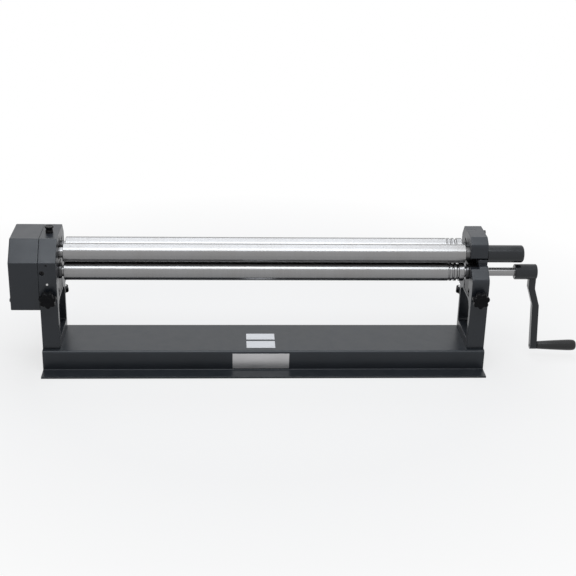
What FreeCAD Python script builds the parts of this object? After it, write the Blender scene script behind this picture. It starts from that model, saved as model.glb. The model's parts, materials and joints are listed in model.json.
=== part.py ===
import FreeCAD, Part
import math
import os

os.makedirs("parts", exist_ok=True)
V = FreeCAD.Vector

# Clearances, mm
RUN = 0.03       # radial, shaft turning in a bush
FIT = 0.02       # radial, pressed or located piece
THREAD = 0.05    # radial, screw in a tapped hole
SLIDE = 0.3      # sliding blocks and loose gaps
LOOSE = 0.5      # between faces that stay apart

# Base, a bent plate with a raised top
BASE_LEN = 1410
BASE_DEPTH = 206
BASE_H = 71
FOOT_DEPTH = 308
PLATE_T = 6
BEND_R = 8
RIB_T = 6
RIB_COUNT = 5
RIB_PITCH = 260
RIB_HOLE_R = 18
RIB_HOLE_PITCH = 55
RIB_RELIEF = 5

# Rolls
ROLL_R = 30
ROLL_GAP = 1.5
LOW_ROLL_RISE = 233.5
REAR_ROLL_GAP = 6
REAR_ROLL_DROP = 3
LOW_ROLL_Z = BASE_H + LOW_ROLL_RISE
TOP_ROLL_Z = LOW_ROLL_Z + 2 * ROLL_R + ROLL_GAP
REAR_ROLL_Y = 2 * ROLL_R + REAR_ROLL_GAP
REAR_ROLL_Z = TOP_ROLL_Z - REAR_ROLL_DROP
JOURNAL_R = 15
SHOULDER_R = 18
REAR_JOURNAL_R = 11
REAR_SHOULDER_R = 14
GEAR_SEAT_STEP = 2.5
GEAR_SEAT_R = JOURNAL_R - GEAR_SEAT_STEP
CRANK_SHAFT_STEP = 1
CRANK_SHAFT_R = JOURNAL_R - CRANK_SHAFT_STEP
GROOVES = ((49, 2.5), (36, 3.5), (21, 4.5))     # distance from the roll's end, radius
ROLL_CHAMFER = 1.0

# Standards
STANDARD_T = 55
OUTER_X = BASE_LEN / 2
INNER_X = OUTER_X - STANDARD_T
MIDDLE_X = OUTER_X - STANDARD_T / 2
SPLIT_DEPTH = 27
SPLIT_X = INNER_X + SPLIT_DEPTH
ROLL_INSET = 15
ROLL_END = INNER_X - ROLL_INSET
FRONT_INSET = 17
FRONT_Y = FRONT_INSET - BASE_DEPTH / 2
LOBE_REACH = 62
LOBE_DROP = 135.7
LOBE_OVERHANG = 33
LOBE_BACK_Y = REAR_ROLL_Y + LOBE_REACH
FOOT_BACK_Y = LOBE_BACK_Y - LOBE_OVERHANG
LOBE_LOW_Z = REAR_ROLL_Z - LOBE_DROP
TOP_RISE = 57
TOP_Z = TOP_ROLL_Z + TOP_RISE
SLOPE_Y = 56
SLOPE_Z = 61
TOP_FRONT_Y = FRONT_Y + SLOPE_Y
LEFT_SLOPE_Z = TOP_Z - SLOPE_Z
BEVEL_Y = 24
BEVEL_Z = 33
CHAMFER_Y = LOBE_BACK_Y - BEVEL_Y
CHAMFER_Z = TOP_Z - BEVEL_Z
CAST_CORNER_R = 5
LOBE_INNER_R = 8
CAST_EDGE_R = 1.5
SEAT_DROP = 27
SEAT_Z = TOP_ROLL_Z - SEAT_DROP
SHOULDER_Y = -43
SHOULDER_SLOPE = 26 / 35
SHOULDER_BEND_R = 24
NOTCH_DEPTH = 6
NOTCH_Z = SEAT_Z - NOTCH_DEPTH

# Bolts that hold the standards
BOLT_R = 7
BOLT_DEPTH = 20
BOLT_TOP_Z = BASE_H + BOLT_DEPTH
BOLT_HEAD_R = 10.5
BOLT_HEAD_H = 9
BOLT_AF = 21
WASHER_R = 14
WASHER_T = 2.5
BOLT_FRONT_IN = 24
BOLT_BACK_IN = 21
BOLT_MIDDLE_Y = 5
BOLT_YS = (FRONT_Y + BOLT_FRONT_IN, BOLT_MIDDLE_Y, FOOT_BACK_Y - BOLT_BACK_IN)

# Lower bearing blocks, their pockets and the wedges under them
BLOCK_X0 = INNER_X + LOOSE
BLOCK_X1 = SPLIT_X - LOOSE
POCKET_HALF = 32
BLOCK_RISE = 24.5
BLOCK_TOP_Z = LOW_ROLL_Z + BLOCK_RISE
WEDGE_SIDE = 1
WEDGE_DROP = 42.5
WEDGE_H = 28
WEDGE_FRONT_Y = -34
WEDGE_BACK_Y = 30
WEDGE_OUT = 13
WEDGE_IN = 6
WEDGE_SLOPE = 0.2
WEDGE_GAP = 0.35
CHANNEL_WALL = 13
CHANNEL_X = OUTER_X - CHANNEL_WALL
WEDGE_X0 = INNER_X + WEDGE_SIDE
WEDGE_X1 = CHANNEL_X - WEDGE_SIDE
WEDGE_HIGH_Z = LOW_ROLL_Z - WEDGE_DROP
WEDGE_LOW_Z = WEDGE_HIGH_Z - WEDGE_H
POCKET_LOW_Z = WEDGE_HIGH_Z
LIFT_UP = WEDGE_IN * WEDGE_SLOPE
LIFT_DOWN = WEDGE_OUT * WEDGE_SLOPE
SHAFT_CLEAR = 0.8
CHANNEL_FRONT_Y = WEDGE_FRONT_Y - WEDGE_OUT - WEDGE_SIDE
CHANNEL_BACK_Y = WEDGE_BACK_Y + WEDGE_IN + WEDGE_SIDE
CHANNEL_LOW_Z = WEDGE_LOW_Z - LOOSE
CHANNEL_TOP_Z = WEDGE_HIGH_Z + WEDGE_SIDE

# Windows low in the standards
WINDOW_FRONT_WALL = 24
WINDOW_BACK_WALL = 15
WINDOW_SILL = 27
WINDOW_BRIDGE = 6.5
WINDOW_FRONT_Y = FRONT_Y + WINDOW_FRONT_WALL
WINDOW_BACK_Y = FOOT_BACK_Y - WINDOW_BACK_WALL
WINDOW_LOW_Z = BASE_H + WINDOW_SILL
WINDOW_TOP_Z = CHANNEL_LOW_Z - WINDOW_BRIDGE
WINDOW_TOP_R = 30
WINDOW_LOW_R = 8

# Front screws and knobs
FRONT_SCREW_X = MIDDLE_X
FRONT_SCREW_Z = WEDGE_LOW_Z + WEDGE_H / 2
FRONT_SCREW_R = 6
FRONT_NECK_R = 4
FRONT_NECK_L = 5.6
FRONT_HEAD_R = 5.5
FRONT_HEAD_L = 4
FRONT_KNOB_GAP = 10
FRONT_KNOB_Y = FRONT_Y - FRONT_KNOB_GAP
FRONT_KNOB_R = 28
FRONT_KNOB_T = 21
FRONT_KNOB_GRIP = 15
FRONT_HUB_L = 3

# Bushes
LOW_BUSH_WALL = 5
LOW_BUSH_R = JOURNAL_R + LOW_BUSH_WALL
LOW_FLANGE_W = 5
LOW_FLANGE_R = LOW_BUSH_R + LOW_FLANGE_W
REAR_BUSH_WALL = 2.5
REAR_BUSH_R = REAR_JOURNAL_R + REAR_BUSH_WALL
REAR_FLANGE_W = 3.5
REAR_FLANGE_R = REAR_BUSH_R + REAR_FLANGE_W
FLANGE_OUT = 8
FLANGE_BACK = 0.4
FLANGE_X = INNER_X - FLANGE_OUT
TOP_BUSH_WALL = 6
TOP_BUSH_R = JOURNAL_R + TOP_BUSH_WALL
TOP_BUSH_IN = 13
TOP_BUSH_OUT = 15
TOP_BUSH_X0 = INNER_X - TOP_BUSH_IN
TOP_BUSH_X1 = OUTER_X + TOP_BUSH_OUT
TOP_ROLL_TAIL = 8
TOP_ROLL_X1 = TOP_BUSH_X1 + TOP_ROLL_TAIL
BALL_WALL = 7
BALL_R = JOURNAL_R + BALL_WALL
BALL_HALF = 10
BALL_X = (BLOCK_X0 + BLOCK_X1) / 2
BALL_SHOULDER_R = 17

# Top left housing
HOUSING_WALL = 14.5
HOUSING_DOWN = 33
HOUSING_UP = 37
HOUSING_X1 = OUTER_X - HOUSING_WALL
HOUSING_LOW_Z = TOP_ROLL_Z - HOUSING_DOWN
HOUSING_TOP_Z = TOP_ROLL_Z + HOUSING_UP
HOUSING_POCKET_TOP = HOUSING_TOP_Z + 2 * LOOSE
BALL_STOP = 1.5
TILT_CLEAR = 2.2
TILT_HOLE_R = JOURNAL_R + TILT_CLEAR
HOUSING_SCREW_R = 4
HOUSING_SCREW_HOLE = 0.5
HOUSING_SCREW_L = 18
HOUSING_SCREW_Y = 24
HOUSING_SCREW_Z = 25
HOUSING_SCREW_YZ = (
    (-HOUSING_SCREW_Y, TOP_ROLL_Z + HOUSING_SCREW_Z), (HOUSING_SCREW_Y, TOP_ROLL_Z - HOUSING_SCREW_Z))

# Rear blocks and screws, on an axis leaning forward
LEAN = 18
REAR_BLOCK_HALF = 16
REAR_BLOCK_UP = 20
REAR_BLOCK_DOWN = 28
REAR_UP = 8
REAR_DOWN = 32
REAR_SCREW_R = 8
REAR_NECK_R = 5
REAR_NECK_L = 4.6
REAR_HEAD_R = 7
REAR_HEAD_L = 4
REAR_HEX_GAP = 10
REAR_HEX_L = 14
REAR_HEX_AF = 24
REAR_HEX_CHAMFER = 2.4
LEAN_SIN = math.sin(math.radians(LEAN))
LEAN_COS = math.cos(math.radians(LEAN))
LOBE_FACE_T = -LOBE_REACH * LEAN_SIN - LOBE_DROP * LEAN_COS
REAR_HEX_T = LOBE_FACE_T - REAR_HEX_GAP
REAR_HUB_L = 2.2
REAR_KNOB_T0 = REAR_HEX_T - REAR_HEX_L - REAR_HUB_L
REAR_KNOB_R = 21
REAR_KNOB_T = 18
REAR_KNOB_GRIP = 12

# Release cap on the right standard
CAP_CLEAR = 0.8
CAP_WALL = 6.2
CAP_BORE_R = TOP_BUSH_R + CAP_CLEAR
CAP_FRONT_Y = -CAP_BORE_R - CAP_WALL
CAP_DROP = 6
CAP_LOW_Z = TOP_ROLL_Z - CAP_DROP
CAP_ARM_GAP = 2
CAP_ARM_Z = SEAT_Z + CAP_ARM_GAP
CAP_FACE_GAP = 0.4
PIVOT_IN = 21
PIVOT_DROP = 10
PIVOT_Y = LOBE_BACK_Y - PIVOT_IN
PIVOT_Z = TOP_ROLL_Z - PIVOT_DROP
CAP_ARC_R = PIVOT_Y - CAP_BORE_R - CAP_WALL
POST_ARC_R = CAP_ARC_R - 2 * LOOSE
CAP_TAIL_R = 15
CAP_NOSE_H = 18
CAP_NOSE_L = 28
CAP_NOSE_R = 20
HORN_FRONT_Y = -30
HORN_BACK_Y = 34
HORN_DROP = 11
HORN_TOP_Z = TOP_ROLL_Z - HORN_DROP
CAP_STEP_Y = 4
PIVOT_R = 8
SOCKET_AF = 8    # hex sockets, across flats
PIVOT_THREAD_R = 6
PIVOT_THREAD_L = 20
PIVOT_HEAD_R = 12
PIVOT_HEAD_H = 8
LOCK_IN = 23
LOCK_DROP = 16
LOCK_Y = PIVOT_Y - LOCK_IN
LOCK_Z = TOP_Z - LOCK_DROP
LOCK_R = 5
LOCK_HEAD_R = 8
LOCK_HEAD_H = 10
PAD_R = 6
PAD_T = 4.1
PAD_TRAVEL = 4.8

# Lift bar
LIFT_WALL = 7
LIFT_R = TOP_BUSH_R + LIFT_WALL
LIFT_GAP = 1.5
LIFT_LEN = 117.5
LIFT_X0 = OUTER_X + LIFT_GAP
LIFT_X1 = LIFT_X0 + LIFT_LEN
LIFT_END_R = 8
LIFT_SCREW_IN = 6.5
LIFT_SCREW_X = LIFT_X0 + LIFT_SCREW_IN
LIFT_SCREW_R = 4
LIFT_SCREW_SUNK = 0.8

# Crank
CRANK_CLEAR = 96
HUB_R = 25
HUB_LEN = 72
HUB_EDGE_R = 3
HUB_X0 = OUTER_X + CRANK_CLEAR
ARM_X = HUB_X0 + HUB_LEN
ARM_T = 22
ARM_HALF_Y = 13
ARM_EDGE_R = 2.5
CRANK_THROW = 262
ARM_STEP = 19
ARM_LEAN = 8
ARM_TAIL_LEAN = 0.7
ARM_BEND_TOP = 54.5
ARM_BEND_LOW = 114.5
ARM_INNER_R = 14
ARM_OUTER_R = 20
CRANK_JOURNAL_BACK = 15
CRANK_SHAFT_BACK = 2
CRANK_KEY_IN = 11
CRANK_KEY_L = 40
CRANK_KEY_X0 = HUB_X0 + CRANK_KEY_IN
CRANK_KEY_X1 = CRANK_KEY_X0 + CRANK_KEY_L
SET_SCREW_IN = 25
SET_SCREW_X = HUB_X0 + SET_SCREW_IN
SET_SCREW_R = 4
GRIP_GAP = 9.3
GRIP_END_GAP = 0.8
GRIP_LEN = 129.7
GRIP_X0 = ARM_X + ARM_STEP + GRIP_GAP
GRIP_X1 = GRIP_X0 + GRIP_LEN
GRIP_THIN_R = 13
GRIP_FAT_R = 18
GRIP_FACE_R = 11.5
GRIP_LIP = 1.5
GRIP_RISE = ((18.7, 0.9), (48.7, 2.6), (83.7, 4.2))     # from the thin end, radius gained
GRIP_ROUND = ((23, 0), (11, 0.3), (4, 1.8), (0, 5))     # from the fat end, radius lost
GRIP_BORE_CLEAR = 0.06
GRIP_SUNK = 7.5
BOSS_R = 11
SPINDLE_R = 6.5
SPINDLE_THREAD_R = 5
SPINDLE_THREAD_IN = 7
SPINDLE_HEAD_R = 9
SPINDLE_HEAD_H = 5
SPINDLE_END = 2

# Gears
TEETH = 12
PITCH_R = (TOP_ROLL_Z - LOW_ROLL_Z) / 2
FLANK_STEPS = (-8.2, -3.75, -1.85, -0.95, 0, 1.05, 2.05, 3.05, 4.2)     # from the pitch circle
TOOTH_W = 6.65
PRESSURE = 20
GEAR_GAP = 7
GEAR_W = 30
GEAR_X0 = OUTER_X + GEAR_GAP
GEAR_X1 = GEAR_X0 + GEAR_W
KEY_W = 8
KEY_H = 7
KEY_SUNK = 4
KEY_TOP_CLEAR = 0.3
GEAR_KEY_FRONT = 2
GEAR_KEY_BACK = 3
GEAR_SCREW_R = 5
GEAR_SCREW_L = 20
GEAR_SCREW_HOLE_L = 24
GEAR_WASHER_R = 17
GEAR_WASHER_T = 3
GEAR_HEAD_R = 8
GEAR_HEAD_H = 8

# Gear cover
COVER_GAP = 0.6
COVER_W = 90.4
COVER_X0 = OUTER_X + COVER_GAP
COVER_X1 = COVER_X0 + COVER_W
COVER_DROP = 100.5
COVER_LOW_Z = LOW_ROLL_Z - COVER_DROP
COVER_T = 2.5
COVER_CORNER_R = 4
COVER_EDGE_R = 3
STUD_FRONT_IN = 18
STUD_BACK_IN = 20
STUD_RISE = 28
STUD_TOP_IN = 19
STUD_TOP_DROP = 21
STUD_YZ = (
    (FRONT_Y + STUD_FRONT_IN, COVER_LOW_Z + STUD_RISE), (LOBE_BACK_Y - STUD_BACK_IN, COVER_LOW_Z + STUD_RISE),
    (CHAMFER_Y - STUD_TOP_IN, TOP_Z - STUD_TOP_DROP))
STUD_R = 6
STUD_THREAD_R = 4
STUD_THREAD_L = 15
COVER_SCREW_R = 3
COVER_SCREW_L = 16
COVER_HEAD_R = 6
COVER_HEAD_H = 4.5

# Index plunger on the left standard
PLUNGER_IN = 25
PLUNGER_X = PLUNGER_IN - OUTER_X
PLUNGER_Y = 26
PLUNGER_R = 12
PLUNGER_H = 9
PLUNGER_STEM_R = 8
PLUNGER_FLOOR = 3
PLUNGER_SEAT_Z = HOUSING_POCKET_TOP + PLUNGER_FLOOR
PLUNGER_PIN_R = 3
PLUNGER_BITE = 6
PLUNGER_PIN_Z = HOUSING_TOP_Z - PLUNGER_BITE
PLUNGER_COLLAR_R = 5.8
PLUNGER_COLLAR_T = 2.7
PLUNGER_LID = 3
PLUNGER_KNOB_R = 14
PLUNGER_SKIRT_R = 11
PLUNGER_DISC_H = 5
PLUNGER_KNOB_H = 11.5
PLUNGER_KNOB_Z = TOP_Z + PLUNGER_H + LOOSE
PLUNGER_KNOB_TOP = PLUNGER_KNOB_Z + PLUNGER_KNOB_H
PLUNGER_KNOB_GRIP = 8.5
SPRING_WIRE_R = 0.7
SPRING_R = 4.6
SPRING_TURNS = 6

# Small pieces on the left standard's front
OILER_IN = 26
OILER_X = OILER_IN - OUTER_X
OILER_DROP = 12.5
OILER_Z = LOW_ROLL_Z - OILER_DROP
OILER_R = 2.5
OILER_LIP = 1
OILER_OUT = 1.2
OILER_L = 7
LARGE_PLUG_IN = 11
LARGE_PLUG_X = LARGE_PLUG_IN - OUTER_X
LARGE_PLUG_Z = BLOCK_TOP_Z
LARGE_PLUG_R = 8
LARGE_PLUG_L = 20
LARGE_PLUG_SUNK = 6
SMALL_PLUG_IN = 25
SMALL_PLUG_X = SMALL_PLUG_IN - OUTER_X
SMALL_PLUG_DROP = 12
SMALL_PLUG_Z = TOP_ROLL_Z - SMALL_PLUG_DROP
SMALL_PLUG_R = 3.5
SMALL_PLUG_L = 11
SMALL_PLUG_SUNK = 2

# Plates
FRONT_PLATE_X0 = -105
FRONT_PLATE_W = 181
FRONT_PLATE_Z0 = 10
FRONT_PLATE_H = 52
FRONT_PLATE_T = 1
LABEL_X0 = -60
LABEL_W = 92
LABEL_T = 0.6
LABEL_YS = ((-18, 26), (-80, -30))


# ---- helpers ----

def box(x0, x1, y0, y1, z0, z1):
    return Part.makeBox(x1 - x0, y1 - y0, z1 - z0, V(x0, y0, z0))


def rod_x(x0, x1, y, z, r):
    return Part.makeCylinder(r, x1 - x0, V(x0, y, z), V(1, 0, 0))


def rod_y(x, y0, y1, z, r):
    return Part.makeCylinder(r, y1 - y0, V(x, y0, z), V(0, 1, 0))


def rod_z(x, y, z0, z1, r):
    return Part.makeCylinder(r, z1 - z0, V(x, y, z0), V(0, 0, 1))


def hex_x(x0, x1, y, z, across):
    reach = across / 2 / math.cos(math.radians(30))
    points = []
    for index in range(6):
        angle = math.radians(60 * index)
        points.append((y + reach * math.cos(angle), z + reach * math.sin(angle), 0))
    return prism_x(points, x0, x1)


def rounded_face(points, place):
    # points hold (a, b, corner radius)
    count = len(points)
    corners = []
    for index in range(count):
        before = V(points[index - 1][0], points[index - 1][1], 0)
        here = V(points[index][0], points[index][1], 0)
        after = V(points[(index + 1) % count][0], points[(index + 1) % count][1], 0)
        radius = points[index][2]
        if radius <= 0:
            corners.append((here, None, here))
            continue
        back = (before - here).normalize()
        ahead = (after - here).normalize()
        half = back.getAngle(ahead) / 2
        cut = radius / math.tan(half)
        toward = (back + ahead).normalize()
        middle = here + toward * (radius / math.sin(half) - radius)
        corners.append((here + back * cut, middle, here + ahead * cut))
    edges = []
    for index in range(count):
        start, middle, end = corners[index]
        if middle is not None:
            arc = Part.Arc(place(start), place(middle), place(end))
            edges.append(arc.toShape())
        following = corners[(index + 1) % count][0]
        if (following - end).Length > 1e-6:
            edges.append(Part.makeLine(place(end), place(following)))
    return Part.Face(Part.Wire(edges))


def prism_x(points, x0, x1):
    face = rounded_face(points, lambda p: V(x0, p.x, p.y))
    return face.extrude(V(x1 - x0, 0, 0))


def prism_y(points, y0, y1):
    face = rounded_face(points, lambda p: V(p.x, y0, p.y))
    return face.extrude(V(0, y1 - y0, 0))


def prism_z(points, z0, z1):
    face = rounded_face(points, lambda p: V(p.x, p.y, z0))
    return face.extrude(V(0, 0, z1 - z0))


def fused(shapes):
    whole = shapes[0]
    for shape in shapes[1:]:
        whole = whole.fuse(shape)
    return whole.removeSplitter()


def less(shape, tools):
    for tool in tools:
        shape = shape.cut(tool)
    return shape


def soften(shape, radius, wanted):
    edges = [edge for edge in shape.Edges if wanted(edge)]
    return shape.makeFillet(radius, edges)


def on_plane_x(x):
    def check(edge):
        bounds = edge.BoundBox
        return abs(bounds.XMin - x) < 1e-4 and abs(bounds.XMax - x) < 1e-4
    return check


def on_plane_z(z):
    def check(edge):
        bounds = edge.BoundBox
        return abs(bounds.ZMin - z) < 1e-4 and abs(bounds.ZMax - z) < 1e-4
    return check


def mirrored(shape):
    return shape.mirror(V(0, 0, 0), V(1, 0, 0))


def leaned(shape):
    # local X stays, local Z becomes the rear adjusting axis, local origin the rear roll's axis
    turned = shape.copy()
    turned.rotate(V(0, 0, 0), V(1, 0, 0), LEAN)
    turned.translate(V(0, REAR_ROLL_Y, REAR_ROLL_Z))
    return turned


def save(node, *shapes):
    shape = shapes[0] if len(shapes) == 1 else Part.makeCompound(list(shapes))
    shape.exportStep("parts/" + node + ".step")


# ---- base ----

def base_plate():
    top = BASE_DEPTH / 2
    foot = FOOT_DEPTH / 2
    inside = top - PLATE_T
    small = BEND_R - PLATE_T
    points = [
        (-foot, 0, 0), (-inside, 0, BEND_R), (-inside, BASE_H - PLATE_T, small),
        (inside, BASE_H - PLATE_T, small), (inside, 0, BEND_R), (foot, 0, 0),
        (foot, PLATE_T, 0), (top, PLATE_T, small), (top, BASE_H, BEND_R),
        (-top, BASE_H, BEND_R), (-top, PLATE_T, small), (-foot, PLATE_T, 0)]
    plate = prism_x(points, -BASE_LEN / 2, BASE_LEN / 2)
    holes = []
    for side in (-1, 1):
        for y in BOLT_YS:
            holes.append(rod_z(side * MIDDLE_X, y, BASE_H - PLATE_T - 1, BASE_H + 1, BOLT_R + LOOSE))
    return less(plate, holes)


def base_ribs():
    inside = BASE_DEPTH / 2 - PLATE_T
    high = BASE_H - PLATE_T
    relief = RIB_RELIEF
    ribs = []
    for index in range(RIB_COUNT):
        x = (index - (RIB_COUNT - 1) / 2) * RIB_PITCH
        points = [(-inside, 0, 0), (inside, 0, 0), (inside, high - relief, 0), (inside - relief, high, 0),
                  (-inside + relief, high, 0), (-inside, high - relief, 0)]
        rib = prism_x(points, x - RIB_T / 2, x + RIB_T / 2)
        holes = [
            rod_x(x - RIB_T, x + RIB_T, k * RIB_HOLE_PITCH, high / 2 + 2, RIB_HOLE_R) for k in (-1, 0, 1)]
        ribs.append(less(rib, holes))
    return ribs


def standard_bolts():
    bolts = []
    under = BASE_H - PLATE_T - WASHER_T
    for side in (-1, 1):
        for y in BOLT_YS:
            x = side * MIDDLE_X
            shank = rod_z(x, y, under, BOLT_TOP_Z, BOLT_R)
            head = rod_z(x, y, under - BOLT_HEAD_H, under, BOLT_HEAD_R)
            reach = BOLT_AF / 2 / math.cos(math.radians(30))
            points = [(
                x + reach * math.cos(math.radians(60 * k)), y + reach * math.sin(math.radians(60 * k)), 0)
                      for k in range(6)]
            head = head.common(prism_z(points, under - BOLT_HEAD_H, under))
            bolts.append(fused([shank, head]))
    return bolts


def standard_washers():
    washers = []
    under = BASE_H - PLATE_T - WASHER_T
    for side in (-1, 1):
        for y in BOLT_YS:
            ring = rod_z(side * MIDDLE_X, y, under, under + WASHER_T, WASHER_R)
            hole = rod_z(side * MIDDLE_X, y, under - 1, under + WASHER_T + 1, BOLT_R + LOOSE)
            washers.append(ring.cut(hole))
    return washers


# ---- standards ----

def lobe_front_z():
    return LOBE_LOW_Z - (LOBE_BACK_Y - FOOT_BACK_Y) * math.tan(math.radians(LEAN))


def shared_cuts(front_pocket_top):
    # everything cut alike in both standards, at the +X side
    bolt_holes = [rod_z(MIDDLE_X, y, BASE_H - 1, BOLT_TOP_Z + 3, BOLT_R + THREAD) for y in BOLT_YS]
    window = prism_x([
        (WINDOW_FRONT_Y, WINDOW_LOW_Z, WINDOW_LOW_R), (WINDOW_BACK_Y, WINDOW_LOW_Z, WINDOW_LOW_R),
        (WINDOW_BACK_Y, WINDOW_TOP_Z, WINDOW_TOP_R), (WINDOW_FRONT_Y, WINDOW_TOP_Z, WINDOW_TOP_R)],
        INNER_X - 1, OUTER_X + 1)
    channel = box(INNER_X - 1, CHANNEL_X, CHANNEL_FRONT_Y, CHANNEL_BACK_Y, CHANNEL_LOW_Z, CHANNEL_TOP_Z)
    pocket = box(INNER_X - 1, SPLIT_X, -POCKET_HALF, POCKET_HALF, POCKET_LOW_Z - 1, front_pocket_top)
    shaft_r = JOURNAL_R + SHAFT_CLEAR
    slot = fused([
        rod_x(SPLIT_X - 1, OUTER_X + 1, 0, LOW_ROLL_Z - LIFT_DOWN, shaft_r),
        rod_x(SPLIT_X - 1, OUTER_X + 1, 0, LOW_ROLL_Z + LIFT_UP, shaft_r),
        box(SPLIT_X - 1, OUTER_X + 1, -shaft_r, shaft_r, LOW_ROLL_Z - LIFT_DOWN, LOW_ROLL_Z + LIFT_UP)])
    front_thread = rod_y(
        FRONT_SCREW_X, FRONT_Y - 1, CHANNEL_FRONT_Y + 1, FRONT_SCREW_Z, FRONT_SCREW_R + THREAD)
    low_t = -REAR_BLOCK_DOWN - REAR_DOWN - LOOSE
    rear_pocket = leaned(box(INNER_X - 1, SPLIT_X, -REAR_BLOCK_HALF - SLIDE, REAR_BLOCK_HALF + SLIDE,
                             low_t, REAR_BLOCK_UP + REAR_UP + LOOSE))
    rear_thread = leaned(rod_z(BALL_X, 0, LOBE_FACE_T - 12, low_t + 1, REAR_SCREW_R + THREAD))
    return bolt_holes + [window, channel, pocket, slot, front_thread, rear_pocket, rear_thread]


def left_standard():
    points = [
        (FRONT_Y, BASE_H, 0), (FRONT_Y, LEFT_SLOPE_Z, CAST_CORNER_R), (TOP_FRONT_Y, TOP_Z, CAST_CORNER_R),
        (CHAMFER_Y, TOP_Z, CAST_CORNER_R), (LOBE_BACK_Y, CHAMFER_Z, CAST_CORNER_R),
        (LOBE_BACK_Y, LOBE_LOW_Z, CAST_CORNER_R), (FOOT_BACK_Y, lobe_front_z(), LOBE_INNER_R),
        (FOOT_BACK_Y, BASE_H, 0)]
    body = prism_x(points, INNER_X, OUTER_X)
    body = soften(body, CAST_EDGE_R, lambda e: on_plane_x(INNER_X)(e) or on_plane_x(OUTER_X)(e))
    px = -PLUNGER_X
    cuts = shared_cuts(HOUSING_LOW_Z)
    cuts.append(box(
        INNER_X - 1, HOUSING_X1 + LOOSE, -POCKET_HALF, POCKET_HALF, HOUSING_LOW_Z - 2, HOUSING_POCKET_TOP))
    cuts.append(rod_x(HOUSING_X1, OUTER_X + 1, 0, TOP_ROLL_Z, TILT_HOLE_R))
    for y, z in HOUSING_SCREW_YZ:
        cuts.append(rod_x(HOUSING_X1, OUTER_X + 1, y, z, HOUSING_SCREW_R + HOUSING_SCREW_HOLE))
    for y, z in STUD_YZ:
        cuts.append(rod_x(OUTER_X - STUD_THREAD_L - 2, OUTER_X + 1, y, z, STUD_THREAD_R + THREAD))
    cuts.append(rod_z(px, PLUNGER_Y, PLUNGER_SEAT_Z, TOP_Z + 1, PLUNGER_STEM_R + THREAD))
    cuts.append(rod_z(px, PLUNGER_Y, HOUSING_POCKET_TOP - 1, PLUNGER_SEAT_Z + 1, PLUNGER_PIN_R + 2 * THREAD))
    cuts.append(rod_y(-OILER_X, FRONT_Y - 1, FRONT_Y + OILER_L + 1, OILER_Z, OILER_R + FIT))
    cuts.append(rod_y(
        -LARGE_PLUG_X, FRONT_Y - 1, FRONT_Y + LARGE_PLUG_L + 2, LARGE_PLUG_Z, LARGE_PLUG_R + THREAD))
    cuts.append(rod_y(
        -SMALL_PLUG_X, FRONT_Y - 1, FRONT_Y + SMALL_PLUG_L + 1, SMALL_PLUG_Z, SMALL_PLUG_R + THREAD))
    return mirrored(less(body, cuts))


def right_standard():
    corner_z = SEAT_Z - (SHOULDER_Y - FRONT_Y) * SHOULDER_SLOPE
    notch_y = SHOULDER_Y - (SEAT_Z - NOTCH_Z) / SHOULDER_SLOPE
    outer = prism_x([
        (FRONT_Y, BASE_H, 0), (FRONT_Y, corner_z, SHOULDER_BEND_R), (SHOULDER_Y, SEAT_Z, 0),
        (LOBE_BACK_Y, SEAT_Z, CAST_CORNER_R - 1), (LOBE_BACK_Y, LOBE_LOW_Z, CAST_CORNER_R),
        (FOOT_BACK_Y, lobe_front_z(), LOBE_INNER_R), (FOOT_BACK_Y, BASE_H, 0)],
        SPLIT_X, OUTER_X)
    outer = soften(outer, CAST_EDGE_R, on_plane_x(OUTER_X))
    inner = prism_x([
        (FRONT_Y, BASE_H, 0), (FRONT_Y, corner_z, SHOULDER_BEND_R), (notch_y, NOTCH_Z, 0), (0, NOTCH_Z, 0),
        (0, TOP_Z, 0), (CHAMFER_Y, TOP_Z, CAST_CORNER_R), (LOBE_BACK_Y, CHAMFER_Z, CAST_CORNER_R),
        (LOBE_BACK_Y, LOBE_LOW_Z, CAST_CORNER_R), (FOOT_BACK_Y, lobe_front_z(), LOBE_INNER_R),
        (FOOT_BACK_Y, BASE_H, 0)],
        INNER_X, SPLIT_X)
    inner = soften(inner, CAST_EDGE_R, on_plane_x(INNER_X))
    keep = rod_x(INNER_X - 1, SPLIT_X + 1, PIVOT_Y, PIVOT_Z, POST_ARC_R)
    above = box(INNER_X - 1, SPLIT_X + 1, -1, PIVOT_Y, NOTCH_Z, TOP_Z + 1)
    inner = inner.cut(above.cut(keep))
    horn = box(SPLIT_X, OUTER_X, HORN_FRONT_Y, HORN_BACK_Y, SEAT_Z - 1, HORN_TOP_Z)
    body = fused([outer, inner, horn])
    cuts = shared_cuts(NOTCH_Z + 1)
    cuts.append(rod_x(SPLIT_X - 1, OUTER_X + 1, 0, TOP_ROLL_Z, TOP_BUSH_R + THREAD))
    cuts.append(rod_x(SPLIT_X - PIVOT_THREAD_L - 2, SPLIT_X + 1, PIVOT_Y, PIVOT_Z, PIVOT_THREAD_R + THREAD))
    return less(body, cuts)


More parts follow.
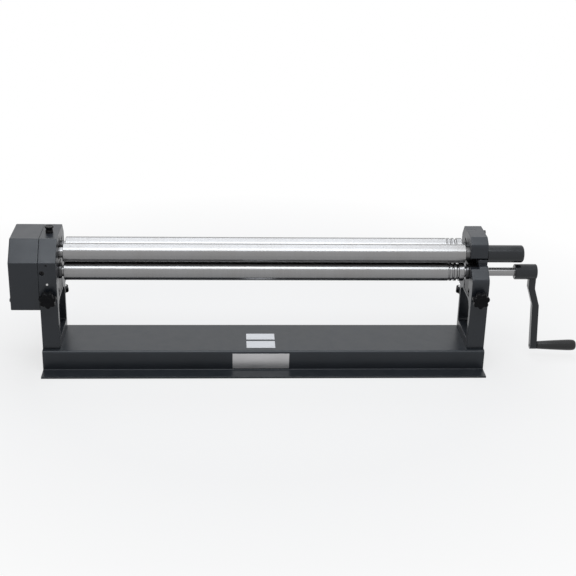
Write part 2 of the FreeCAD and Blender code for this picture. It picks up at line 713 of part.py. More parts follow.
def release_cap():
    inner_x = INNER_X
    face_x = SPLIT_X + CAP_FACE_GAP
    step_y = HORN_BACK_Y + CAP_STEP_Y
    front = [(CAP_FRONT_Y, CAP_LOW_Z, 0), (CAP_FRONT_Y, TOP_Z - CAP_NOSE_H, CAP_NOSE_R),
             (CAP_FRONT_Y + CAP_NOSE_L, TOP_Z, 0)]
    tail_y = PIVOT_Y + CAP_TAIL_R
    chamfer_z = TOP_Z - (tail_y - CHAMFER_Y) * (TOP_Z - CHAMFER_Z) / (LOBE_BACK_Y - CHAMFER_Y)
    outer = prism_x(front + [
        (CHAMFER_Y, TOP_Z, 4), (tail_y, chamfer_z, 4), (tail_y, CAP_ARM_Z, CAP_TAIL_R - 0.01),
        (step_y, CAP_ARM_Z, 0), (step_y, CAP_LOW_Z, 0)], face_x, OUTER_X)
    outer = soften(outer, CAST_EDGE_R, on_plane_x(OUTER_X))
    inner = prism_x(front + [(PIVOT_Y, TOP_Z, 0), (PIVOT_Y, CAP_LOW_Z, 0)], inner_x, face_x)
    inner = soften(inner, CAST_EDGE_R, on_plane_x(inner_x))
    inner = inner.cut(rod_x(inner_x - 1, face_x, PIVOT_Y, PIVOT_Z, CAP_ARC_R))
    body = fused([outer, inner])
    bore = rod_x(inner_x - 1, OUTER_X + 1, 0, TOP_ROLL_Z, CAP_BORE_R)
    legs = box(inner_x - 1, OUTER_X + 1, -CAP_BORE_R, CAP_BORE_R, CAP_LOW_Z - 1, TOP_ROLL_Z)
    pivot = rod_x(SPLIT_X, OUTER_X + 1, PIVOT_Y, PIVOT_Z, PIVOT_R + RUN)
    lock = rod_x(SPLIT_X, OUTER_X + 1, LOCK_Y, LOCK_Z, LOCK_R + THREAD)
    pad = rod_x(SPLIT_X, SPLIT_X + SLIDE + PAD_T + PAD_TRAVEL + SLIDE, LOCK_Y, LOCK_Z, PAD_R + THREAD)
    return less(body, [bore, legs, pivot, lock, pad])


def cap_pivot_bolt():
    bolt = fused([
        rod_x(SPLIT_X - PIVOT_THREAD_L, SPLIT_X + THREAD, PIVOT_Y, PIVOT_Z, PIVOT_THREAD_R),
        rod_x(SPLIT_X + THREAD, OUTER_X + SLIDE, PIVOT_Y, PIVOT_Z, PIVOT_R),
        rod_x(OUTER_X + SLIDE, OUTER_X + SLIDE + PIVOT_HEAD_H, PIVOT_Y, PIVOT_Z, PIVOT_HEAD_R)])
    socket = OUTER_X + SLIDE + PIVOT_HEAD_H
    return bolt.cut(hex_x(socket - 5, socket + 1, PIVOT_Y, PIVOT_Z, SOCKET_AF))


def cap_lock_screw():
    screw = fused([
        rod_x(SPLIT_X + PAD_T + 2 * SLIDE, OUTER_X + LOCK_HEAD_H / 2, LOCK_Y, LOCK_Z, LOCK_R),
        rod_x(OUTER_X + LOOSE, OUTER_X + LOOSE + LOCK_HEAD_H, LOCK_Y, LOCK_Z, LOCK_HEAD_R)])
    socket = OUTER_X + LOOSE + LOCK_HEAD_H
    return screw.cut(hex_x(socket - 5, socket + 1, LOCK_Y, LOCK_Z, SOCKET_AF))


def cap_lock_pad():
    return rod_x(SPLIT_X + SLIDE, SPLIT_X + SLIDE + PAD_T, LOCK_Y, LOCK_Z, PAD_R)


# ---- rolls ----

def roll_body(y, z):
    body = rod_x(-ROLL_END, ROLL_END, y, z, ROLL_R)
    return body.makeChamfer(ROLL_CHAMFER, [edge for edge in body.Edges if edge.Closed])


def key_slot(x0, x1, z, shaft_r):
    # slot on top of a shaft along X
    return box(x0, x1, -KEY_W / 2, KEY_W / 2, z + shaft_r - KEY_SUNK, z + shaft_r + 5)


def groove_tools(y, z):
    return [Part.makeTorus(ROLL_R, r, V(ROLL_END - back, y, z), V(1, 0, 0)) for back, r in GROOVES]


def geared_end(z, shoulder_x, shoulder_r):
    # left journal with gear seat, built at +X and mirrored
    return [
        rod_x(ROLL_END - 1, shoulder_x, 0, z, shoulder_r),
        rod_x(ROLL_END - 1, GEAR_X0, 0, z, JOURNAL_R),
        rod_x(GEAR_X0 - 1, GEAR_X1 - 1, 0, z, GEAR_SEAT_R)]


def geared_cuts(z):
    return [
        key_slot(GEAR_X0 + GEAR_KEY_FRONT, GEAR_X1 - GEAR_KEY_BACK, z, GEAR_SEAT_R),
        rod_x(GEAR_X1 - GEAR_SCREW_HOLE_L, GEAR_X1, 0, z, GEAR_SCREW_R + THREAD)]


def top_roll():
    left = fused(geared_end(TOP_ROLL_Z, BALL_X - BALL_HALF - SLIDE, BALL_SHOULDER_R))
    left = mirrored(less(left, geared_cuts(TOP_ROLL_Z)))
    right = [
        rod_x(ROLL_END - 1, TOP_BUSH_X0 - SLIDE, 0, TOP_ROLL_Z, SHOULDER_R),
        rod_x(ROLL_END - 1, TOP_ROLL_X1, 0, TOP_ROLL_Z, JOURNAL_R)]
    return fused([roll_body(0, TOP_ROLL_Z), left] + right)


def lower_roll():
    left = fused(geared_end(LOW_ROLL_Z, FLANGE_X - SLIDE, SHOULDER_R))
    left = mirrored(less(left, geared_cuts(LOW_ROLL_Z)))
    journal_x = OUTER_X - CRANK_JOURNAL_BACK
    crank_end = rod_x(journal_x - 1, ARM_X - CRANK_SHAFT_BACK, 0, LOW_ROLL_Z, CRANK_SHAFT_R)
    crank_end = crank_end.cut(box(CRANK_KEY_X0, CRANK_KEY_X1, CRANK_SHAFT_R - KEY_SUNK, CRANK_SHAFT_R + 5,
                                  LOW_ROLL_Z - KEY_W / 2, LOW_ROLL_Z + KEY_W / 2))
    right = [
        rod_x(ROLL_END - 1, FLANGE_X - SLIDE, 0, LOW_ROLL_Z, SHOULDER_R),
        rod_x(ROLL_END - 1, journal_x, 0, LOW_ROLL_Z, JOURNAL_R), crank_end]
    body = less(roll_body(0, LOW_ROLL_Z), groove_tools(0, LOW_ROLL_Z))
    return fused([body, left] + right)


def rear_roll():
    ends = []
    for side in (-1, 1):
        low = -FLANGE_X + SLIDE if side < 0 else ROLL_END - 1
        high = -ROLL_END + 1 if side < 0 else FLANGE_X - SLIDE
        ends.append(rod_x(low, high, REAR_ROLL_Y, REAR_ROLL_Z, REAR_SHOULDER_R))
        journal_x = BLOCK_X1 - LOOSE
        low = -journal_x if side < 0 else ROLL_END - 1
        high = -ROLL_END + 1 if side < 0 else journal_x
        ends.append(rod_x(low, high, REAR_ROLL_Y, REAR_ROLL_Z, REAR_JOURNAL_R))
    body = less(roll_body(REAR_ROLL_Y, REAR_ROLL_Z), groove_tools(REAR_ROLL_Y, REAR_ROLL_Z))
    return fused([body] + ends)


# ---- top roll bearings ----

def top_left_housing():
    half = POCKET_HALF - SLIDE
    body = box(BLOCK_X0, HOUSING_X1, -half, half, HOUSING_LOW_Z, HOUSING_TOP_Z)
    cuts = [
        rod_x(BLOCK_X0 - 1, BALL_X + BALL_HALF + BALL_STOP, 0, TOP_ROLL_Z, BALL_R + THREAD),
        rod_x(BLOCK_X0, HOUSING_X1 + 1, 0, TOP_ROLL_Z, TILT_HOLE_R),
        rod_z(-PLUNGER_X, PLUNGER_Y, PLUNGER_PIN_Z - 3, HOUSING_TOP_Z + 1, PLUNGER_PIN_R + THREAD)]
    for y, z in HOUSING_SCREW_YZ:
        cuts.append(rod_x(HOUSING_X1 - HOUSING_SCREW_L - 2, HOUSING_X1 + 1, y, z, HOUSING_SCREW_R + THREAD))
    return mirrored(less(body, cuts))


def housing_screws():
    screws = []
    for y, z in HOUSING_SCREW_YZ:
        screw = fused([
            rod_x(HOUSING_X1 - HOUSING_SCREW_L, OUTER_X + 1, y, z, HOUSING_SCREW_R),
            rod_x(OUTER_X, OUTER_X + 5, y, z, HOUSING_SCREW_R + 2.5)])
        screws.append(mirrored(screw.cut(hex_x(OUTER_X + 2, OUTER_X + 6, y, z, 5))))
    return screws


def top_left_bush():
    # barrel with a spherical outside, so that the roll can tilt in it
    rim_r = math.sqrt(BALL_R ** 2 - BALL_HALF ** 2)
    bore_r = JOURNAL_R + RUN
    low = V(BALL_X - BALL_HALF, 0, TOP_ROLL_Z + rim_r)
    high = V(BALL_X + BALL_HALF, 0, TOP_ROLL_Z + rim_r)
    inner_low = V(BALL_X - BALL_HALF, 0, TOP_ROLL_Z + bore_r)
    inner_high = V(BALL_X + BALL_HALF, 0, TOP_ROLL_Z + bore_r)
    edges = [
        Part.Arc(low, V(BALL_X, 0, TOP_ROLL_Z + BALL_R), high).toShape(),
        Part.makeLine(high, inner_high), Part.makeLine(inner_high, inner_low), Part.makeLine(inner_low, low)]
    face = Part.Face(Part.Wire(edges))
    return mirrored(face.revolve(V(BALL_X, 0, TOP_ROLL_Z), V(1, 0, 0), 360))


def top_right_bush():
    bush = rod_x(TOP_BUSH_X0, TOP_BUSH_X1, 0, TOP_ROLL_Z, TOP_BUSH_R)
    return bush.cut(rod_x(TOP_BUSH_X0 - 1, TOP_BUSH_X1 + 1, 0, TOP_ROLL_Z, JOURNAL_R + RUN))


def lift_bar():
    bar = rod_x(LIFT_X0, LIFT_X1, 0, TOP_ROLL_Z, LIFT_R)
    bar = soften(bar, LIFT_END_R, on_plane_x(LIFT_X1))
    return less(bar, [
        rod_x(LIFT_X0 - 1, TOP_BUSH_X1 + LOOSE, 0, TOP_ROLL_Z, TOP_BUSH_R + FIT),
        rod_x(LIFT_X0 - 1, TOP_ROLL_X1 + 4, 0, TOP_ROLL_Z, JOURNAL_R + 2),
        rod_z(LIFT_SCREW_X, 0, TOP_ROLL_Z - LIFT_R - 1, TOP_ROLL_Z - JOURNAL_R, LIFT_SCREW_R + THREAD)])


def lift_bar_screw():
    low = TOP_ROLL_Z - LIFT_R + LIFT_SCREW_SUNK
    screw = rod_z(LIFT_SCREW_X, 0, low, TOP_ROLL_Z - TOP_BUSH_R - 2 * THREAD, LIFT_SCREW_R)
    reach = 2.3
    points = [(
        LIFT_SCREW_X + reach * math.cos(math.radians(60 * k)), reach * math.sin(math.radians(60 * k)), 0)
              for k in range(6)]
    return screw.cut(prism_z(points, low - 1, low + 3))


# ---- lower carriage ----

def wedge_top(y):
    return WEDGE_HIGH_Z - WEDGE_SLOPE * (y - WEDGE_FRONT_Y)


def lower_block():
    half = POCKET_HALF - SLIDE
    points = [(-half, wedge_top(-half) + WEDGE_GAP, 0), (half, wedge_top(half) + WEDGE_GAP, 0),
              (half, BLOCK_TOP_Z, 2), (-half, BLOCK_TOP_Z, 2)]
    block = prism_x(points, BLOCK_X0, BLOCK_X1)
    return block.cut(rod_x(BLOCK_X0 - 1, BLOCK_X1 + 1, 0, LOW_ROLL_Z, LOW_BUSH_R + FIT))


def lower_bush():
    bush = fused([
        rod_x(FLANGE_X, INNER_X - FLANGE_BACK, 0, LOW_ROLL_Z, LOW_FLANGE_R),
        rod_x(FLANGE_X, BLOCK_X1, 0, LOW_ROLL_Z, LOW_BUSH_R)])
    return bush.cut(rod_x(FLANGE_X - 1, BLOCK_X1 + 1, 0, LOW_ROLL_Z, JOURNAL_R + RUN))


def wedge():
    points = [(WEDGE_FRONT_Y, WEDGE_LOW_Z, 0), (WEDGE_BACK_Y, WEDGE_LOW_Z, 0),
              (WEDGE_BACK_Y, wedge_top(WEDGE_BACK_Y), 0), (WEDGE_FRONT_Y, WEDGE_HIGH_Z, 0)]
    body = prism_x(points, WEDGE_X0, WEDGE_X1)
    neck_y = WEDGE_FRONT_Y + FRONT_NECK_L - 2 * SLIDE
    head_y = neck_y + FRONT_HEAD_L + 2 * SLIDE
    neck_r = FRONT_NECK_R + SLIDE
    head_r = FRONT_HEAD_R + SLIDE
    cuts = [
        box(WEDGE_X0 - 1, FRONT_SCREW_X, WEDGE_FRONT_Y - 1, neck_y + 1,
            FRONT_SCREW_Z - neck_r, FRONT_SCREW_Z + neck_r),
        rod_y(FRONT_SCREW_X, WEDGE_FRONT_Y - 1, neck_y + 1, FRONT_SCREW_Z, neck_r),
        box(WEDGE_X0 - 1, FRONT_SCREW_X, neck_y, head_y, FRONT_SCREW_Z - head_r, FRONT_SCREW_Z + head_r),
        rod_y(FRONT_SCREW_X, neck_y, head_y, FRONT_SCREW_Z, head_r)]
    return less(body, cuts)


def front_screw():
    neck_y = WEDGE_FRONT_Y - SLIDE
    head_y = neck_y + FRONT_NECK_L
    return fused([
        rod_y(FRONT_SCREW_X, FRONT_KNOB_Y - FRONT_KNOB_GRIP, neck_y, FRONT_SCREW_Z, FRONT_SCREW_R),
        rod_y(FRONT_SCREW_X, neck_y - 1, head_y, FRONT_SCREW_Z, FRONT_NECK_R),
        rod_y(FRONT_SCREW_X, head_y, head_y + FRONT_HEAD_L, FRONT_SCREW_Z, FRONT_HEAD_R)])


def star_knob(outer_r, thick, hub_len, bore_r, bore_depth):
    # back face at local z 0, front at +thick
    lobes = 7
    points = []
    for index in range(lobes):
        angle = 2 * math.pi * index / lobes
        between = angle + math.pi / lobes
        tip = 1.241 * outer_r
        valley = 0.73 * outer_r
        points.append((tip * math.cos(angle), tip * math.sin(angle), 0.219 * outer_r))
        points.append((valley * math.cos(between), valley * math.sin(between), 0.32 * outer_r))
    body = prism_z(points, 0, thick)
    body = soften(body, 3.5, on_plane_z(thick))
    body = soften(body, 1.5, on_plane_z(0))
    hub = rod_z(0, 0, -hub_len, 1, 0.46 * outer_r)
    dish = Part.makeCone(0.36 * outer_r, 0.42 * outer_r, 1.5, V(0, 0, thick - 1.5), V(0, 0, 1))
    body = fused([body, hub])
    return less(body, [dish, rod_z(0, 0, -4, bore_depth, bore_r)])


def front_knob():
    knob = star_knob(FRONT_KNOB_R, FRONT_KNOB_T, FRONT_HUB_L, FRONT_SCREW_R + FIT, FRONT_KNOB_GRIP + LOOSE)
    knob.rotate(V(0, 0, 0), V(1, 0, 0), 90)
    knob.translate(V(FRONT_SCREW_X, FRONT_KNOB_Y, FRONT_SCREW_Z))
    return knob


# ---- rear carriage ----

def rear_block():
    body = box(BLOCK_X0, BLOCK_X1, -REAR_BLOCK_HALF, REAR_BLOCK_HALF, -REAR_BLOCK_DOWN, REAR_BLOCK_UP)
    neck_t = -REAR_BLOCK_DOWN + REAR_NECK_L - 2 * SLIDE
    head_t = neck_t + REAR_HEAD_L + 2 * SLIDE
    neck_r = REAR_NECK_R + SLIDE
    head_r = REAR_HEAD_R + SLIDE
    cuts = [
        box(BLOCK_X0 - 1, BALL_X, -neck_r, neck_r, -REAR_BLOCK_DOWN - 1, neck_t + 1),
        rod_z(BALL_X, 0, -REAR_BLOCK_DOWN - 1, neck_t + 1, neck_r),
        box(BLOCK_X0 - 1, BALL_X, -head_r, head_r, neck_t, head_t),
        rod_z(BALL_X, 0, neck_t, head_t, head_r),
        rod_x(BLOCK_X0 - 1, BLOCK_X1 + 1, 0, 0, REAR_BUSH_R + FIT)]
    return leaned(less(body, cuts))


def rear_bush():
    bush = fused([
        rod_x(FLANGE_X, INNER_X - FLANGE_BACK, REAR_ROLL_Y, REAR_ROLL_Z, REAR_FLANGE_R),
        rod_x(FLANGE_X, BLOCK_X1, REAR_ROLL_Y, REAR_ROLL_Z, REAR_BUSH_R)])
    return bush.cut(rod_x(FLANGE_X - 1, BLOCK_X1 + 1, REAR_ROLL_Y, REAR_ROLL_Z, REAR_JOURNAL_R + RUN))


def rear_screw():
    neck_t = -REAR_BLOCK_DOWN - SLIDE
    head_t = neck_t + REAR_NECK_L
    reach = REAR_HEX_AF / 2 / math.cos(math.radians(30))
    points = [(BALL_X + reach * math.cos(math.radians(60 * k)), reach * math.sin(math.radians(60 * k)), 0)
              for k in range(6)]
    collar = prism_z(points, REAR_HEX_T - REAR_HEX_L, REAR_HEX_T)
    small = REAR_HEX_AF / 2 + 0.2
    bevel = REAR_HEX_CHAMFER
    high = V(BALL_X, 0, REAR_HEX_T - bevel)
    low = V(BALL_X, 0, REAR_HEX_T - REAR_HEX_L)
    clip = Part.makeCone(small + bevel, small, bevel, high, V(0, 0, 1))
    clip = clip.fuse(Part.makeCone(small, small + bevel, bevel, low, V(0, 0, 1)))
    clip = clip.fuse(rod_z(BALL_X, 0, REAR_HEX_T - REAR_HEX_L + bevel, REAR_HEX_T - bevel, small + bevel))
    collar = collar.common(clip)
    return leaned(fused([
        rod_z(BALL_X, 0, REAR_KNOB_T0 - REAR_KNOB_GRIP, neck_t, REAR_SCREW_R), collar,
        rod_z(BALL_X, 0, neck_t - 1, head_t, REAR_NECK_R),
        rod_z(BALL_X, 0, head_t, head_t + REAR_HEAD_L, REAR_HEAD_R)]))


def rear_knob():
    knob = star_knob(REAR_KNOB_R, REAR_KNOB_T, REAR_HUB_L, REAR_SCREW_R + FIT, REAR_KNOB_GRIP + LOOSE)
    knob.rotate(V(0, 0, 0), V(1, 0, 0), 180)
    knob.translate(V(BALL_X, 0, REAR_KNOB_T0))
    return leaned(knob)


# ---- gears and cover ----

def involute(angle):
    return math.tan(angle) - angle


def half_angle(radius):
    base_r = PITCH_R * math.cos(math.radians(PRESSURE))
    at_pitch = TOOTH_W / 2 / PITCH_R + involute(math.radians(PRESSURE))
    if radius <= base_r:
        return at_pitch
    return at_pitch - involute(math.acos(base_r / radius))


def gear(z, first_angle):
    # rim is a closed polygon of flank points; first_angle is a tooth's centre
    points = []
    radii = [PITCH_R + step for step in FLANK_STEPS]
    for index in range(TEETH):
        middle = math.radians(first_angle) + 2 * math.pi * index / TEETH
        for radius in radii:
            angle = middle - half_angle(radius)
            points.append((radius * math.cos(angle), z + radius * math.sin(angle), 0))
        for radius in reversed(radii):
            angle = middle + half_angle(radius)
            points.append((radius * math.cos(angle), z + radius * math.sin(angle), 0))
    body = prism_x(points, GEAR_X0, GEAR_X1)
    hub_side = rod_x(GEAR_X0 - 1, GEAR_X1 + 1, 0, z, GEAR_SEAT_R + FIT)
    slot_top = z + GEAR_SEAT_R + KEY_H - KEY_SUNK + KEY_TOP_CLEAR
    slot = box(GEAR_X0 - 1, GEAR_X1 + 1, -KEY_W / 2 - FIT, KEY_W / 2 + FIT, z, slot_top)
    return mirrored(less(body, [hub_side, slot]))


def gear_key(z):
    low = z + GEAR_SEAT_R - KEY_SUNK
    return mirrored(box(
        GEAR_X0 + GEAR_KEY_FRONT, GEAR_X1 - GEAR_KEY_BACK, -KEY_W / 2, KEY_W / 2, low, low + KEY_H))


def gear_screw(z):
    screw = fused([
        rod_x(GEAR_X1 - GEAR_SCREW_L, GEAR_X1, 0, z, GEAR_SCREW_R),
        rod_x(GEAR_X1, GEAR_X1 + GEAR_WASHER_T, 0, z, GEAR_WASHER_R),
        rod_x(GEAR_X1 + GEAR_WASHER_T, GEAR_X1 + GEAR_WASHER_T + GEAR_HEAD_H, 0, z, GEAR_HEAD_R)])
    socket = GEAR_X1 + GEAR_WASHER_T + GEAR_HEAD_H
    return mirrored(screw.cut(hex_x(socket - 6, socket + 1, 0, z, SOCKET_AF)))


def gear_cover():
    outline = [
        (FRONT_Y, COVER_LOW_Z), (FRONT_Y, LEFT_SLOPE_Z), (TOP_FRONT_Y, TOP_Z), (CHAMFER_Y, TOP_Z),
        (LOBE_BACK_Y, CHAMFER_Z), (LOBE_BACK_Y, COVER_LOW_Z)]
    outer = prism_x([(y, z, COVER_CORNER_R) for y, z in outline], COVER_X0, COVER_X1)
    outer = soften(outer, COVER_EDGE_R, on_plane_x(COVER_X1))
    face = rounded_face([(y, z, COVER_CORNER_R) for y, z in outline], lambda p: V(COVER_X0 - 1, p.x, p.y))
    inner = Part.Face(face.OuterWire.makeOffset2D(-COVER_T))
    inner = inner.extrude(V(COVER_X1 - COVER_T - COVER_X0 + 1, 0, 0))
    holes = [rod_x(COVER_X1 - 2 * COVER_T, COVER_X1 + 1, y, z, COVER_SCREW_R + SLIDE) for y, z in STUD_YZ]
    return mirrored(less(outer.cut(inner), holes))


def cover_studs():
    studs = []
    for y, z in STUD_YZ:
        stud = fused([
            rod_x(OUTER_X, COVER_X1 - COVER_T, y, z, STUD_R),
            rod_x(OUTER_X - STUD_THREAD_L, OUTER_X + 1, y, z, STUD_THREAD_R)])
        bore = rod_x(COVER_X1 - COVER_T - COVER_SCREW_L, COVER_X1, y, z, COVER_SCREW_R + THREAD)
        studs.append(mirrored(stud.cut(bore)))
    return studs


def cover_screws():
    screws = []
    for y, z in STUD_YZ:
        top = COVER_X1 + COVER_HEAD_H
        head = rod_x(COVER_X1, top, y, z, COVER_HEAD_R)
        head = soften(head, COVER_HEAD_H / 3, on_plane_x(top))
        screw = fused([rod_x(COVER_X1 - COVER_SCREW_L, COVER_X1 + 1, y, z, COVER_SCREW_R), head])
        screws.append(mirrored(screw.cut(hex_x(top - 2.5, top + 1.5, y, z, 4))))
    return screws


# ---- index plunger ----

def plunger_body():
    body = rod_z(PLUNGER_X, PLUNGER_Y, TOP_Z, TOP_Z + PLUNGER_H, PLUNGER_R)
    body = soften(body, 1.5, on_plane_z(TOP_Z + PLUNGER_H))
    stem = rod_z(PLUNGER_X, PLUNGER_Y, PLUNGER_SEAT_Z + LOOSE, TOP_Z + 1, PLUNGER_STEM_R)
    chamber_top = TOP_Z + PLUNGER_H - PLUNGER_LID
    return less(fused([body, stem]), [
        rod_z(PLUNGER_X, PLUNGER_Y, PLUNGER_SEAT_Z - 1, chamber_top, PLUNGER_COLLAR_R + SLIDE),
        rod_z(PLUNGER_X, PLUNGER_Y, TOP_Z, TOP_Z + PLUNGER_H + 1, PLUNGER_PIN_R + THREAD)])


def plunger_pin():
    pin = rod_z(PLUNGER_X, PLUNGER_Y, PLUNGER_PIN_Z, PLUNGER_KNOB_Z + PLUNGER_KNOB_GRIP, PLUNGER_PIN_R)
    pin = pin.makeChamfer(1, [edge for edge in pin.Edges if on_plane_z(PLUNGER_PIN_Z)(edge)])
    low = PLUNGER_SEAT_Z + SLIDE
    return fused([pin, rod_z(PLUNGER_X, PLUNGER_Y, low, low + PLUNGER_COLLAR_T, PLUNGER_COLLAR_R)])


def plunger_knob():
    low = PLUNGER_KNOB_Z
    disc_low = PLUNGER_KNOB_TOP - PLUNGER_DISC_H
    disc = rod_z(PLUNGER_X, PLUNGER_Y, disc_low, PLUNGER_KNOB_TOP, PLUNGER_KNOB_R)
    disc = soften(disc, 1.5, lambda e: on_plane_z(PLUNGER_KNOB_TOP)(e) or on_plane_z(disc_low)(e))
    skirt = rod_z(PLUNGER_X, PLUNGER_Y, low, disc_low + 1, PLUNGER_SKIRT_R)
    head = fused([disc, skirt])
    pin_hole = rod_z(PLUNGER_X, PLUNGER_Y, low - 1, low + PLUNGER_KNOB_GRIP + SLIDE, PLUNGER_PIN_R + FIT)
    return head.cut(pin_hole)


def plunger_spring():
    wire_r = SPRING_WIRE_R
    turn_r = SPRING_R
    low = PLUNGER_SEAT_Z + SLIDE + PLUNGER_COLLAR_T + wire_r + 0.1
    high = TOP_Z + PLUNGER_H - PLUNGER_LID - wire_r - 0.1
    helix = Part.makeHelix((high - low) / SPRING_TURNS, high - low, turn_r)
    ring = Part.Wire([Part.makeCircle(wire_r, V(turn_r, 0, 0), V(0, 1, 0))])
    spring = helix.makePipeShell([ring], True, True)
    spring.translate(V(PLUNGER_X, PLUNGER_Y, low))
    return spring


# ---- crank ----

def crank_arm():
    grip_z = LOW_ROLL_Z - CRANK_THROW
    inner_x = ARM_X - ARM_T
    top_z = LOW_ROLL_Z - ARM_BEND_TOP
    low_z = LOW_ROLL_Z - ARM_BEND_LOW
    low_x = ARM_STEP + ARM_LEAN
    tail_x = low_x + ARM_TAIL_LEAN
    side = prism_y([
        (inner_x, LOW_ROLL_Z, 0), (inner_x, top_z, ARM_INNER_R), (inner_x + ARM_STEP, low_z, ARM_INNER_R),
        (inner_x + low_x, grip_z, 0), (inner_x + tail_x, grip_z - ARM_HALF_Y, 0),
        (ARM_X + tail_x, grip_z - ARM_HALF_Y, 0), (ARM_X + low_x, grip_z, 0),
        (ARM_X + ARM_STEP, low_z, ARM_OUTER_R), (ARM_X, top_z, ARM_OUTER_R), (ARM_X, LOW_ROLL_Z, 0)],
        -ARM_HALF_Y, ARM_HALF_Y)
    side = soften(
        side, ARM_EDGE_R, lambda e: abs(abs(e.BoundBox.YMin) - ARM_HALF_Y) < 1e-3 and e.BoundBox.YLength < 1e-3
                  and e.BoundBox.ZLength > 2)
    outline = fused([
        box(inner_x - 5, ARM_X + tail_x + 5, -ARM_HALF_Y, ARM_HALF_Y, grip_z, LOW_ROLL_Z + 1),
        rod_x(inner_x - 5, ARM_X + tail_x + 5, 0, grip_z, ARM_HALF_Y)])
    arm = side.common(outline)
    hub = rod_x(HUB_X0, ARM_X, 0, LOW_ROLL_Z, HUB_R)
    hub = soften(hub, HUB_EDGE_R, lambda e: on_plane_x(HUB_X0)(e) or on_plane_x(ARM_X)(e))
    boss = rod_x(ARM_X + ARM_STEP, GRIP_X0 - GRIP_END_GAP, 0, grip_z, BOSS_R)
    whole = fused([arm, hub, boss])
    return less(whole, [
        rod_x(HUB_X0 - 1, ARM_X + 1, 0, LOW_ROLL_Z, CRANK_SHAFT_R + FIT),
        box(HUB_X0 - 1, CRANK_KEY_X1 + 1, 0, CRANK_SHAFT_R + KEY_H - KEY_SUNK + KEY_TOP_CLEAR,
            LOW_ROLL_Z - KEY_W / 2 - FIT, LOW_ROLL_Z + KEY_W / 2 + FIT),
        rod_y(SET_SCREW_X, CRANK_SHAFT_R + 1, HUB_R + 1, LOW_ROLL_Z, SET_SCREW_R + THREAD),
        rod_x(inner_x, GRIP_X0 + 1, 0, grip_z, SPINDLE_THREAD_R + THREAD)])


def crank_key():
    low = CRANK_SHAFT_R - KEY_SUNK
    return box(CRANK_KEY_X0, CRANK_KEY_X1, low, low + KEY_H, LOW_ROLL_Z - KEY_W / 2, LOW_ROLL_Z + KEY_W / 2)


def crank_set_screw():
    low = CRANK_SHAFT_R + KEY_H - KEY_SUNK + 2 * THREAD
    return rod_y(SET_SCREW_X, low, HUB_R - LIFT_SCREW_SUNK, LOW_ROLL_Z, SET_SCREW_R)


def grip_spindle():
    z = LOW_ROLL_Z - CRANK_THROW
    spindle = fused([
        rod_x(ARM_X + SPINDLE_THREAD_IN, GRIP_X0 - GRIP_END_GAP, 0, z, SPINDLE_THREAD_R),
        rod_x(GRIP_X0 - GRIP_END_GAP, GRIP_X1 - SPINDLE_END - SPINDLE_HEAD_H, 0, z, SPINDLE_R),
        rod_x(GRIP_X1 - SPINDLE_END - SPINDLE_HEAD_H, GRIP_X1 - SPINDLE_END, 0, z, SPINDLE_HEAD_R)])
    return spindle.cut(hex_x(GRIP_X1 - SPINDLE_END - 3, GRIP_X1, 0, z, 6))


def crank_grip():
    z = LOW_ROLL_Z - CRANK_THROW
    profile = [(GRIP_X0, GRIP_FACE_R), (GRIP_X0 + GRIP_LIP, GRIP_THIN_R)]
    profile += [(GRIP_X0 + along, GRIP_THIN_R + gain) for along, gain in GRIP_RISE]
    profile += [(GRIP_X1 - along, GRIP_FAT_R - loss) for along, loss in GRIP_ROUND]
    points = [V(x, 0, z + r) for x, r in profile]
    edges = [Part.makeLine(V(GRIP_X0, 0, z), points[0]), Part.makeLine(points[0], points[1])]
    curve = Part.BSplineCurve()
    curve.interpolate(points[1:])
    edges.append(curve.toShape())
    edges.append(Part.makeLine(points[-1], V(GRIP_X1, 0, z)))
    edges.append(Part.makeLine(V(GRIP_X1, 0, z), V(GRIP_X0, 0, z)))
    body = Part.Face(Part.Wire(edges)).revolve(V(GRIP_X0, 0, z), V(1, 0, 0), 360)
    return less(body, [
        rod_x(GRIP_X0 - 1, GRIP_X1, 0, z, SPINDLE_R + GRIP_BORE_CLEAR),
        rod_x(GRIP_X1 - GRIP_SUNK, GRIP_X1 + 1, 0, z, SPINDLE_HEAD_R + LOOSE)])


# ---- small pieces ----

def ball_oiler():
    return fused([
        rod_y(OILER_X, FRONT_Y - OILER_OUT, FRONT_Y, OILER_Z, OILER_R + OILER_LIP),
        rod_y(OILER_X, FRONT_Y - OILER_OUT / 2, FRONT_Y + OILER_L, OILER_Z, OILER_R)])


def front_plugs():
    large = rod_y(LARGE_PLUG_X, FRONT_Y + LARGE_PLUG_SUNK, FRONT_Y + LARGE_PLUG_L, LARGE_PLUG_Z, LARGE_PLUG_R)
    large = large.cut(rod_y(LARGE_PLUG_X, FRONT_Y, FRONT_Y + LARGE_PLUG_SUNK + 5, LARGE_PLUG_Z, 3.4))
    small = rod_y(SMALL_PLUG_X, FRONT_Y + SMALL_PLUG_SUNK, FRONT_Y + SMALL_PLUG_L, SMALL_PLUG_Z, SMALL_PLUG_R)
    small = small.cut(rod_y(SMALL_PLUG_X, FRONT_Y, FRONT_Y + SMALL_PLUG_SUNK + 3, SMALL_PLUG_Z, 1.7))
    return [large, small]


def front_plate():
    front = -BASE_DEPTH / 2
    return box(FRONT_PLATE_X0, FRONT_PLATE_X0 + FRONT_PLATE_W, front - FRONT_PLATE_T, front,
               FRONT_PLATE_Z0, FRONT_PLATE_Z0 + FRONT_PLATE_H)


def top_label():
    return [box(LABEL_X0, LABEL_X0 + LABEL_W, y0, y1, BASE_H, BASE_H + LABEL_T) for y0, y1 in LABEL_YS]


# ---- write every node ----

